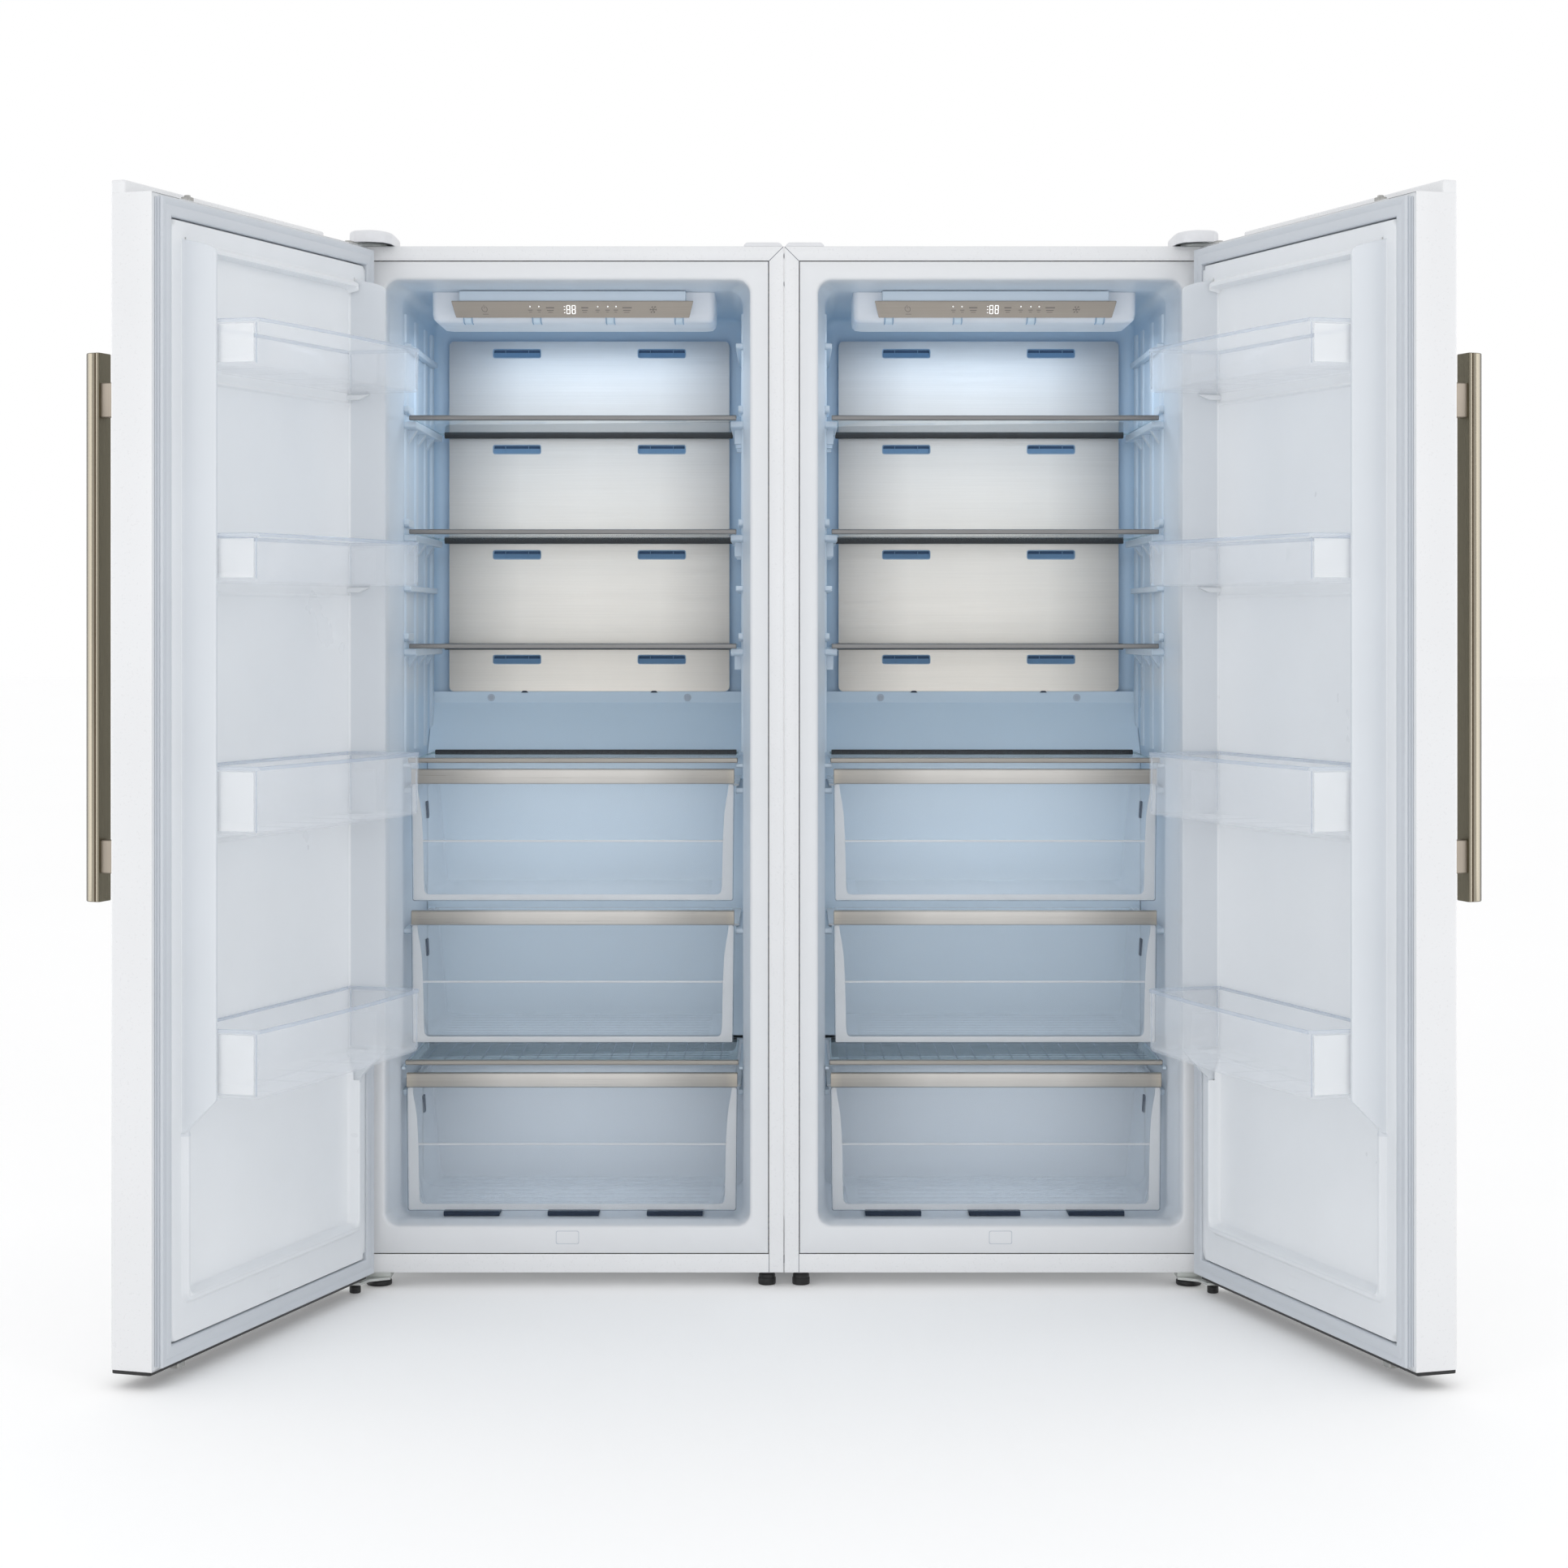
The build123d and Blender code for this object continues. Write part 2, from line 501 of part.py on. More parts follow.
def door_foam():
    g = 1.5
    slab = box(DOOR_X0 + g, DOOR_X1 - g, DOOR_Y_OUT + g, DOOR_Y_IN - LINER - 0.3, DOOR_Z0 + g, DOOR_Z1 - g)
    slab = pin_holes(slab)
    y0, y1 = DOOR_Y_IN - LINER - 0.1, -4.9
    a = 36.2
    # strips behind the flat field around the recess
    out = [slab]
    out.append(box(DOOR_X0 + a, DOOR_X0 + 73.0, y0, y1, 72, 1656))
    out.append(box(DOOR_X1 - 73.0, DOOR_X1 - a, y0, y1, 72, 1656))
    out.append(box(DOOR_X0 + 74, DOOR_X1 - 74, y0, y1, 1633, 1664))
    out.append(box(DOOR_X0 + 74, DOOR_X1 - 74, y0, y1, 64, 118))
    z0, z1 = DYKE_BOTTOM + 4, DYKE_TOP - 4
    for s in (0, 1):
        pts = [((DOOR_X0 + d) if s == 0 else (DOOR_X1 - d), y) for d, y in [(65.2, -4.6), (67.9, 32.0), (70.2, 44.0), (72.2, 44.0), (73.0, 34.0), (73.2, -4.6)]]
        side = [(-6, z0 + 2), (-2, z0 + 2), (DYKE_H, z0 + 46), (DYKE_H, z1 - 26), (DYKE_H - 12, z1 - 8), (DYKE_H - 26, z1 - 2), (-6, z1 - 2)]
        out.append(prism_z(pts, z0 - 5, z1 + 5) & prism_x(side, -W - 20, 20))
    # core of the raised front lip
    out.append(box(DOOR_X0 + 76.5, DOOR_X1 - 3.0, DOOR_Y_OUT + 2.3, DOOR_Y_OUT + LIP_DEPTH - 2.3, DOOR_Z1 - 1.0, LIP_Z - 2.3))
    return out


def door_gasket():
    """Four lengths of magnetic seal, mitred at the corners, with two bellows folds."""
    x0, x1, z0, z1, w = DOOR_X0 + 6, DOOR_X1 - 6, 32.0, 1697.0, GASKET_W
    strips = [
        [(x0, z0), (x0 + w, z0 + w), (x0 + w, z1 - w), (x0, z1)],
        [(x1, z0), (x1, z1), (x1 - w, z1 - w), (x1 - w, z0 + w)],
        [(x0, z1), (x0 + w, z1 - w), (x1 - w, z1 - w), (x1, z1)],
        [(x0, z0), (x1, z0), (x1 - w, z0 + w), (x0 + w, z0 + w)],
    ]
    out = []
    for pts in strips:
        g = prism_y(pts, DOOR_Y_IN, GASKET_Y)
        for ya, yb in ((-12.0, -10.0), (-7.5, -5.5)):
            g -= box(x0 - 1, x1 + 1, ya, yb, z0 - 1, z1 + 1) - box(x0 + 3, x1 - 3, ya - 1, yb + 1, z0 + 3, z1 - 3)
        out.append(g)
    return out


def door_handle():
    xc = DOOR_X1 - HANDLE_IN
    y_out = DOOR_Y_OUT - HANDLE_OUT
    pts = []
    n = 14
    hw = HANDLE_W / 2
    for i in range(n + 1):
        a = math.pi * i / n
        # a flattened half ellipse for the outer face
        c, s = math.cos(a), math.sin(a)
        pts.append((xc + hw * math.copysign(abs(c) ** 0.72, c), y_out + 13.0 - 13.0 * s ** 0.8))
    pts += [(xc - hw, y_out + HANDLE_T - 5.2), (xc - hw + 1.2, y_out + HANDLE_T - 4.2), (xc - hw + 1.2, y_out + HANDLE_T),
            (xc + hw - 1.2, y_out + HANDLE_T), (xc + hw - 1.2, y_out + HANDLE_T - 4.2), (xc + hw, y_out + HANDLE_T - 5.2)]
    bar = prism_z(pts, HANDLE_Z0, HANDLE_Z1)
    out = [bar]
    for z0, z1 in POSTS:
        out.append(rrect_z(xc - 11, xc + 11, y_out + HANDLE_T, DOOR_Y_OUT, 2.5, z0, z1))
    return out


def door_bottom_trim():
    t = box(DOOR_X0 + 0.8, DOOR_X1 - 0.8, DOOR_Y_OUT + 1.5, DOOR_Y_IN - 2.5, 20.5, DOOR_Z0)
    t += cyl_z(-62, -48, 13, 15.5, 21)
    px = -W + PIN_D
    return t - cyl_z(px, PIN_Y, PIN_HOLE_R, 10, 40)


def door_stops():
    # closing cams and their striker on the door's top, and the stop below
    a = box(-137, -119, -34, -20, DOOR_Z1, DOOR_Z1 + 7)
    a = fillet(a.edges().filter_by(Axis.Z), 4.0)
    a += cyl_z(-128, -27, 4.6, DOOR_Z1 + 6, DOOR_Z1 + 10)
    b = box(-668, -650, -30, -18, DOOR_Z1, DOOR_Z1 + 4.6)
    b = fillet(b.edges().filter_by(Axis.Z), 4.0)
    c = box(-110, -88, -36, -20, 12.5, 20.5)
    c = fillet(c.edges().filter_by(Axis.Z), 3.0)
    return [a, b, c]


# ------------------------------------------------------------------ door bins
def bin_face(o, z):
    x0, x1 = DOOR_X0 + BIN_D + o, DOOR_X1 - BIN_D - o
    y0, y1 = -11.6 + o, BIN_FRONT - 8 - o
    lines = [
        Line((x0, y1, z), (x0, y0, z)), Line((x0, y0, z), (x1, y0, z)), Line((x1, y0, z), (x1, y1, z)),
        ThreePointArc((x1, y1, z), ((x0 + x1) / 2, y1 + 8, z), (x0, y1, z)),
    ]
    f = make_face(lines)
    front = f.vertices().group_by(Axis.Y)[-1]
    f = fillet(front, 12.0 - o)
    return f


def door_bin(k):
    z0, z1 = BINS[k]
    body = extrude(bin_face(0, z0), amount=z1 - z0, dir=(0, 0, 1))
    body -= extrude(bin_face(BIN_T, z0 + BIN_T), amount=z1 - z0, dir=(0, 0, 1))
    # the back wall is lower than the front
    body -= box(DOOR_X0 + BIN_D + 14, DOOR_X1 - BIN_D - 14, -13, -7, z0 + (z1 - z0) * 0.62, z1 + 1)
    return body


# ------------------------------------------------------------------ hinges, feet, joining kit
def upper_hinge():
    px = -W + PIN_D
    pts = [(px - 5, -39), (px - 2, -42), (px + 8, -42), (px + 14, -20), (px + 46, 8), (px + 46, 66), (px - 5, 66)]
    plate = prism_z(pts, CAB_Z1 + 0.1, CAB_Z1 + 4.1)
    pin = cyl_z(px, PIN_Y, PIN_R, 1680, CAB_Z1 + 6)
    screws = cyl_z(px + 8, 24, 5.5, CAB_Z1 + 3.5, CAB_Z1 + 7.5) + cyl_z(px + 32, 24, 5.5, CAB_Z1 + 3.5, CAB_Z1 + 7.5) + cyl_z(px + 20, 50, 5.5, CAB_Z1 + 3.5, CAB_Z1 + 7.5)
    return plate + pin + screws


def lower_hinge():
    px = -W + PIN_D
    pts = [(px - 8, -42), (px + 9, -42), (px + 20, -14), (px + 52, 4), (px + 52, 60), (px - 8, 60)]
    plate = prism_z(pts, 13.0, 17.0)
    pin = cyl_z(px, PIN_Y, PIN_R, 11.5, 50)
    washer = cyl_z(px, PIN_Y, 8.5, 16.9, 19.6)
    riser = box(px - 8, px + 52, 10, 60, 16.9, 24.8)
    return plate + pin + washer + riser


def hinge_cover():
    # hollow lid over the bracket
    def lid(o, z0, z1):
        x0, x1 = -W + 3 + o, -W + 72 - o
        pts = [(x0, -40 + o), (x0 + 8, -52 + o), (x0 + 30, -55 + o), (x1 - 12, -44 + o), (x1 - 2, -22 + o), (x1, 6), (x1, 78 - o), (x0, 78 - o)]
        return prism_z(pts, z0, z1)
    body = lid(0, CAB_Z1 + 0.6, CAB_Z1 + 20.5)
    top = body.faces().sort_by(Axis.Z)[-1].edges()
    body = fillet(top, 5.0)
    body -= lid(2.0, CAB_Z1 - 1, CAB_Z1 + 17.5)
    return body


def blank_cover():
    pts = [(-66, 2), (-3, 2), (-3, 66), (-66, 66)]
    b = prism_z(pts, CAB_Z1 + 0.1, CAB_Z1 + 7.0)
    b = chamfer(b.faces().sort_by(Axis.Z)[-1].edges(), 4.0)
    return b


def feet():
    px = -W + PIN_D
    out = []
    # inner front foot, hinge-side disc foot with the adjuster under the hinge pin, two rear glides
    f = cyl_z(-28, 34, 14.5, 0, 21)
    f = fillet(f.edges().sort_by(Axis.Z)[0], 2.0)
    f += cyl_z(-28, 34, 5, 20, CAB_Z0)
    out.append(f)
    d = cyl_z(-667, 30, 21.0, 0, 9.5)
    d = fillet(d.edges(), 2.5)
    d += cyl_z(-667, 30, 5, 9, 13.0)
    out.append(d)
    a = cyl_z(px, PIN_Y - 4, 9.2, 0.2, 11.4)
    out.append(a)
    for x in (-48, -662):
        r = cyl_z(x, 610, 18, 0, CAB_Z0)
        r = fillet(r.edges().sort_by(Axis.Z)[0], 2.0)
        out.append(r)
    return out


def joining_kit():
    out = []
    for y in (120, 560):
        p = rrect_z(-34, 34, y, y + 56, 4, CAB_Z1 + 0.1, CAB_Z1 + 2.1)
        for x in (-22, 22):
            for dy in (14, 42):
                p += cyl_z(x, y + dy, 4.5, CAB_Z1 + 2.0, CAB_Z1 + 4.4)
        out.append(p)
    out.append(rrect_z(-60, 60, 90, 150, 4, CAB_Z0 - 2.2, CAB_Z0 - 0.2))
    return out


# ------------------------------------------------------------------ build
L = {}
L["cabinet_shell"] = cabinet_shell()
L["inner_liner"] = inner_liner()
for name, shape in L.items():
    save("left_" + name, shape)
    save("right_" + name, mirrored(shape))

f = foam()
save("foam_insulation", solids(f) + mirrored(f))

glass, trims = drawer_covers()
PAIRS = {
    "air_duct_panels": duct_panel(),
    "evaporator_covers": [evaporator_cover(), duct_body()],
    "evaporators": [evaporator(), fan_motor()],
    "compressors": [compressor(), condenser()],
    "machine_compartment_covers": [rear_cover()] + base_pan(),
    "ceiling_lamps": ceiling_lamp(),
    "control_panels": control_panel(),
    "drawer_cover_glass": glass,
    "drawer_cover_trims": trims,
    "hinge_brackets": [upper_hinge(), lower_hinge()],
    "hinge_covers": [hinge_cover(), blank_cover()],
    "levelling_feet": feet(),
}
for name, shape in PAIRS.items():
    save(name, solids(shape) + mirrored(shape))
save("joining_kit", joining_kit())

FAN = {"evaporator_fan": fan_rotor()}
for name, shape in FAN.items():
    save("left_" + name, shape)
    save("right_" + name, mirrored(shape))

for k in range(3):
    s = shelf(SHELF_Z[k])
    save(f"left_shelf_{k + 1}", s)
    save(f"right_shelf_{k + 1}", mirrored(s))
    d = drawer(k)
    save(f"left_drawer_{k + 1}", d)
    save(f"right_drawer_{k + 1}", mirrored(d))
    t = drawer_trim(k)
    save(f"left_drawer_{k + 1}_strip", t)
    save(f"right_drawer_{k + 1}_strip", mirrored(t))

DOOR = {
    "door_skin": door_skin(),
    "door_foam": door_foam(),
    "door_liner": door_liner(),
    "door_gasket": door_gasket(),
    "door_handle": door_handle(),
    "door_bottom_trim": door_bottom_trim(),
    "door_stops": door_stops(),
}
for name, shape in DOOR.items():
    s = swing(shape)
    save("left_" + name, s)
    save("right_" + name, mirrored(s))
for k in range(4):
    s = swing(door_bin(k))
    save(f"left_door_bin_{k + 1}", s)
    save(f"right_door_bin_{k + 1}", mirrored(s))

lo = [min(getattr(b.min, a) for _, b in BOXES) for a in "XYZ"]
hi = [max(getattr(b.max, a) for _, b in BOXES) for a in "XYZ"]
print("box", [round(v, 2) for v in lo], [round(v, 2) for v in hi])
print("centre", round((lo[0] + hi[0]) / 2, 2), round((lo[1] + hi[1]) / 2, 2), "nodes", len(os.listdir("parts")))
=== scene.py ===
import bpy, bmesh, math
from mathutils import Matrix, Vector


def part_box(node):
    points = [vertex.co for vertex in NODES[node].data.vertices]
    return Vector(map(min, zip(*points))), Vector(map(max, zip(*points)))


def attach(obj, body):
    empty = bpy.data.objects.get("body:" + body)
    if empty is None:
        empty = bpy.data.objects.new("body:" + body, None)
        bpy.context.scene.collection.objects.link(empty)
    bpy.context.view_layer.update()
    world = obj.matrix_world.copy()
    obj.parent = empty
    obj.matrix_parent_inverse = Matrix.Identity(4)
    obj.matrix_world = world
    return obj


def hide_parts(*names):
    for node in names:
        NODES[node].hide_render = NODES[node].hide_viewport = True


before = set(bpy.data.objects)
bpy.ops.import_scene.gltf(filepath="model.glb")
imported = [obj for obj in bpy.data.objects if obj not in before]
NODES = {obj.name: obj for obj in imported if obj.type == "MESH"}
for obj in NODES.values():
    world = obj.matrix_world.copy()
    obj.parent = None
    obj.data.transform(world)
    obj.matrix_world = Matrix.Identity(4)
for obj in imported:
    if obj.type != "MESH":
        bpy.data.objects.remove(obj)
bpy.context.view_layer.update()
scene = bpy.context.scene

# ---------------------------------------------------------------- dimensions, in mm, as in the CAD
MM = 0.001
W = 710.0
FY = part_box("left_cabinet_shell")[0][1] / MM          # the cabinets' front plane in the row frame
XC = -W / 2
PX, PY = -W + 12.0, -32.0                              # hinge pin
OPEN = math.radians(-108.0)
DX0, DX1 = -709.0, -1.5
D_IN, D_OUT = -14.5, -80.5
DZ0, DZ1, LIP_Z = 26.0, 1703.0, 1721.0
BINS = [(1457.0, 1527.0), (1148.0, 1219.0), (784.0, 884.0), (407.0, 507.0)]
SHELF_Z = [1431.0, 1239.5, 1047.0]
DRAWERS = [(130.0, 83.5, 623.0, 820.0, 845.0, 486.0), (130.0, 83.5, 384.0, 583.0, 607.0, 486.0), (110.0, 78.0, 106.0, 313.0, 337.0, 412.0)]
VENT_Z = [1582.0, 1407.0, 1215.0, 1024.0]


# ---------------------------------------------------------------- materials
class NT:
    def __init__(self, name):
        self.m = bpy.data.materials.new(name)
        self.m.use_nodes = True
        self.t = self.m.node_tree
        self.n = self.t.nodes
        self.p = self.n.get("Principled BSDF")
        self.c = self.n.new("ShaderNodeTexCoord")

    def mapping(self, scale, rot=(0, 0, 0)):
        mp = self.n.new("ShaderNodeMapping")
        mp.inputs["Scale"].default_value = scale
        mp.inputs["Rotation"].default_value = rot
        self.t.links.new(self.c.outputs["Object"], mp.inputs["Vector"])
        return mp.outputs["Vector"]

    def noise(self, scale=(1, 1, 1), detail=4.0, rough=0.55, size=1.0, dist=0.0):
        nz = self.n.new("ShaderNodeTexNoise")
        nz.inputs["Scale"].default_value = size
        nz.inputs["Detail"].default_value = detail
        nz.inputs["Roughness"].default_value = rough
        nz.inputs["Distortion"].default_value = dist
        self.t.links.new(self.mapping(scale), nz.inputs["Vector"])
        return nz.outputs["Fac"]

    def ramp(self, fac, stops):
        r = self.n.new("ShaderNodeValToRGB")
        e = r.color_ramp.elements
        while len(e) < len(stops):
            e.new(0.5)
        for el, (pos, col) in zip(e, stops):
            el.position = pos
            el.color = (*col, 1.0) if len(col) == 3 else col
        self.t.links.new(fac, r.inputs["Fac"])
        return r.outputs["Color"]

    def maprange(self, fac, a, b, c, d):
        r = self.n.new("ShaderNodeMapRange")
        for k, v in zip(("From Min", "From Max", "To Min", "To Max"), (a, b, c, d)):
            r.inputs[k].default_value = v
        self.t.links.new(fac, r.inputs["Value"])
        return r.outputs["Result"]

    def bump(self, fac, strength, dist):
        b = self.n.new("ShaderNodeBump")
        b.inputs["Strength"].default_value = strength
        b.inputs["Distance"].default_value = dist
        self.t.links.new(fac, b.inputs["Height"])
        self.t.links.new(b.outputs["Normal"], self.p.inputs["Normal"])

    def link(self, out, socket):
        self.t.links.new(out, self.p.inputs[socket])

    def put(self, **kw):
        for k, v in kw.items():
            self.p.inputs[k.replace("_", " ")].default_value = v

    def axis(self, k, centre=None, fold=0.0):
        """Object position along one axis in metres; with fold, the distance from +-fold."""
        sp = self.n.new("ShaderNodeSeparateXYZ")
        self.t.links.new(self.c.outputs["Object"], sp.inputs["Vector"])
        out = sp.outputs[k]
        if fold:
            a = self.n.new("ShaderNodeMath")
            a.operation = "ABSOLUTE"
            self.t.links.new(out, a.inputs[0])
            b = self.n.new("ShaderNodeMath")
            b.operation = "SUBTRACT"
            b.inputs[1].default_value = fold
            self.t.links.new(a.outputs[0], b.inputs[0])
            c = self.n.new("ShaderNodeMath")
            c.operation = "ABSOLUTE"
            self.t.links.new(b.outputs[0], c.inputs[0])
            out = c.outputs[0]
        return out

    def door_depth(self, y0, y1):
        """0 to 1 between two depths of the open doors' own thickness direction, the same on both doors."""
        sa, ca = math.sin(OPEN), math.cos(OPEN)
        sp = self.n.new("ShaderNodeSeparateXYZ")
        self.t.links.new(self.c.outputs["Object"], sp.inputs["Vector"])
        a = self.n.new("ShaderNodeMath")
        a.operation = "ABSOLUTE"
        self.t.links.new(sp.outputs[0], a.inputs[0])
        b = self.n.new("ShaderNodeMath")
        b.operation = "MULTIPLY_ADD"
        self.t.links.new(a.outputs[0], b.inputs[0])
        b.inputs[1].default_value = sa
        b.inputs[2].default_value = (sa * PX - ca * (FY + PY) + PY) * MM
        c = self.n.new("ShaderNodeMath")
        c.operation = "MULTIPLY_ADD"
        self.t.links.new(sp.outputs[1], c.inputs[0])
        c.inputs[1].default_value = ca
        self.t.links.new(b.outputs[0], c.inputs[2])
        return self.maprange(c.outputs[0], y0 * MM, y1 * MM, 0.0, 1.0)

    def multiply(self, a, b):
        mx = self.n.new("ShaderNodeMix")
        mx.data_type = "RGBA"
        mx.blend_type = "MULTIPLY"
        mx.inputs["Factor"].default_value = 1.0
        self.t.links.new(a, mx.inputs["A"])
        self.t.links.new(b, mx.inputs["B"])
        return mx.outputs["Result"]


def sc(c, k):
    return tuple(min(1.0, v * k) for v in c)


def painted(name, col, rough=0.3, coat=0.25, peel=0.05, var=0.02):
    m = NT(name)
    f = m.noise((3, 3, 3), detail=3, size=1.0)
    m.link(m.ramp(f, [(0.3, sc(col, 1 - var)), (0.7, sc(col, 1 + var * 0.5))]), "Base Color")
    g = m.noise((260, 260, 260), detail=2, size=1.0)
    m.link(m.maprange(g, 0.3, 0.7, rough * 0.88, rough * 1.12), "Roughness")
    m.bump(g, peel, 0.0004)
    m.put(Coat_Weight=coat, Coat_Roughness=0.12)
    return m.m


def moulded(name, col, rough=0.38, grain=0.06, var=0.025, spec=0.5, sss=0.0):
    m = NT(name)
    f = m.noise((5, 5, 5), detail=4, size=1.0)
    m.link(m.ramp(f, [(0.25, sc(col, 1 - var)), (0.75, sc(col, 1 + var * 0.5))]), "Base Color")
    g = m.noise((700, 700, 700), detail=3, size=1.0)
    m.link(m.maprange(f, 0.3, 0.7, rough * 0.9, rough * 1.1), "Roughness")
    m.bump(g, grain, 0.0003)
    m.p.inputs["Specular IOR Level"].default_value = spec
    if sss:
        m.p.inputs["Subsurface Weight"].default_value = sss
        m.p.inputs["Subsurface Radius"].default_value = (0.01, 0.01, 0.012)
    return m.m


def brushed(name, col, direction, rough=0.34, metal=0.9, contrast=0.10, aniso=0.4, strength=0.12, across=None, painted_light_span=None, rim=None):
    """Fine grain that runs along one axis: 0 for X, 2 for Z."""
    m = NT(name)
    fine = [900.0, 900.0, 900.0]
    fine[direction] = 4.0
    band = [46.0, 46.0, 46.0]
    band[direction] = 0.6
    a = m.noise(tuple(fine), detail=5, rough=0.7)
    b = m.noise(tuple(band), detail=3)
    c1 = m.ramp(a, [(0.28, sc(col, 1 - contrast)), (0.72, sc(col, 1 + contrast * 0.7))])
    lo = 0.965 if across else 0.93
    c2 = m.ramp(b, [(0.3, (lo, lo, lo)), (0.7, (1.0, 1.0, 1.0))])
    c = m.multiply(c1, c2)
    # across: painted shade, the colour darkens towards each unit's sides
    if across:
        c = m.multiply(c, m.ramp(m.maprange(m.axis(0, fold=0.355), 0.0, 0.28, 0.0, 1.0), across))
    # painted light: a tint and brightness that change from bottom to top
    if painted_light_span:
        z0, z1, stops = painted_light_span
        c = m.multiply(c, m.ramp(m.maprange(m.axis(2), z0, z1, 0.0, 1.0), stops))
    if rim:
        # painted shade that darkens the colour towards the outer crown of the bar
        c = m.multiply(c, m.ramp(m.door_depth(D_OUT - 60.0, D_OUT - 32.0), [(0.0, (rim, rim, rim)), (0.20, (rim, rim, rim)), (0.46, (1, 1, 1))]))
    m.link(c, "Base Color")
    m.link(m.maprange(a, 0.25, 0.75, rough * 0.8, rough * 1.25), "Roughness")
    m.bump(a, strength, 0.0002)
    m.put(Metallic=metal, Anisotropic=aniso)
    return m.m


def clear(name, col, face, edge, rough=0.06, wave=True, blend=0.42):
    m = NT(name)
    lw = m.n.new("ShaderNodeLayerWeight")
    lw.inputs["Blend"].default_value = blend
    m.link(m.maprange(lw.outputs["Facing"], 0.05, 0.95, face, edge), "Alpha")
    f = m.noise((9, 9, 9), detail=2, size=1.0)
    m.link(m.ramp(f, [(0.3, sc(col, 0.965)), (0.7, col)]), "Base Color")
    m.link(m.maprange(f, 0.3, 0.7, rough * 0.7, rough * 1.5), "Roughness")
    if wave:
        g = m.noise((24, 24, 24), detail=2, size=1.0)
        m.bump(g, 0.06, 0.002)
    m.p.inputs["Specular IOR Level"].default_value = 0.8
    m.p.inputs["IOR"].default_value = 1.49
    return m.m


M = {}
M["white"] = painted("white_enamel", (0.80, 0.81, 0.825), peel=0.015)
FRONT = FY * MM
# the white plastic takes on the cool light of the cavity the deeper it lies
nt = NT("liner_plastic_depth")
dep = nt.ramp(nt.maprange(nt.axis(1), FRONT, FRONT + 0.60, 0.0, 1.0), [(0.0, (0.775, 0.79, 0.81)), (0.035, (0.74, 0.77, 0.805)), (0.10, (0.70, 0.755, 0.815)), (0.24, (0.66, 0.75, 0.84)), (0.62, (0.60, 0.73, 0.86)), (1.0, (0.54, 0.70, 0.86))])
low = nt.ramp(nt.maprange(nt.axis(1), FRONT, FRONT + 0.60, 0.0, 1.0), [(0.0, (0.775, 0.79, 0.81)), (0.035, (0.74, 0.77, 0.805)), (0.12, (0.72, 0.765, 0.815)), (0.5, (0.72, 0.77, 0.825)), (1.0, (0.72, 0.78, 0.84))])
mx = nt.n.new("ShaderNodeMix")
mx.data_type = "RGBA"
nt.t.links.new(nt.maprange(nt.axis(2), 0.52, 0.80, 0.0, 1.0), mx.inputs["Factor"])
nt.t.links.new(low, mx.inputs["A"])
nt.t.links.new(dep, mx.inputs["B"])
cl = nt.ramp(nt.noise((5, 5, 5), detail=4), [(0.25, (0.965, 0.97, 0.975)), (0.75, (1.0, 1.0, 1.0))])
nt.link(nt.multiply(mx.outputs["Result"], cl), "Base Color")
nt.link(nt.maprange(nt.noise((7, 7, 7), detail=3), 0.3, 0.7, 0.28, 0.36), "Roughness")
nt.bump(nt.noise((700, 700, 700), detail=3), 0.06, 0.0003)
M["liner"] = nt.m
M["liner_rib"] = moulded("liner_rib_plastic", (0.66, 0.76, 0.86), rough=0.3, spec=0.5)
# the door liner is one plastic in three tones: the recess is a lighter copy as painted light, the dykes a darker copy
# as painted shade
M["door_liner"] = moulded("door_liner_plastic", (0.785, 0.812, 0.842), rough=0.32)
M["door_recess"] = moulded("door_recess_plastic_painted_light", (0.86, 0.885, 0.91), rough=0.30)
M["door_dyke"] = moulded("door_dyke_plastic_painted_shade", (0.70, 0.735, 0.775), rough=0.32)
M["flange"] = moulded("liner_flange_plastic", (0.52, 0.56, 0.62), rough=0.34)
M["cavity"] = moulded("cavity_cover_plastic", (0.74, 0.86, 0.96), rough=0.36)
M["gap"] = moulded("seam_shadow", (0.09, 0.10, 0.13), rough=0.6)
# painted shade: the duct panel darkens towards each unit's side walls
EDGE_PAINTED_SHADE = [(0.0, (1.0, 1.0, 1.0)), (0.45, (0.96, 0.96, 0.96)), (0.78, (0.74, 0.74, 0.745)), (0.94, (0.60, 0.60, 0.605))]
# painted light: the duct panel is cooler and darker towards the top, warmer towards the bottom
M["duct"] = brushed("duct_panel_steel", (0.96, 0.94, 0.905), 0, rough=0.34, metal=0.55, contrast=0.06, aniso=0.5, across=EDGE_PAINTED_SHADE,
                    painted_light_span=(0.96, 1.61, [(0.0, (1.0, 0.955, 0.895)), (0.45, (1.0, 0.98, 0.95)), (0.72, (0.92, 0.935, 0.955)), (1.0, (0.70, 0.77, 0.86))]))
# painted shade: the drawer strips darken towards each unit's sides
M["trim"] = brushed("trim_steel", (0.60, 0.585, 0.56), 0, rough=0.32, metal=0.7, contrast=0.10, across=[(0.0, (1, 1, 1)), (0.4, (0.93, 0.93, 0.93)), (0.72, (0.62, 0.62, 0.615)), (0.92, (0.58, 0.57, 0.55)), (1.0, (0.78, 0.73, 0.66))])
M["shelf_trim"] = brushed("shelf_trim_steel", (0.235, 0.235, 0.235), 0, rough=0.30, metal=0.8, contrast=0.12)
M["cover_trim"] = brushed("cover_trim_steel", (0.34, 0.325, 0.30), 0, rough=0.30, metal=0.8, contrast=0.12)
M["panel"] = brushed("control_panel_steel", (0.42, 0.372, 0.32), 0, rough=0.40, metal=0.25, contrast=0.07)
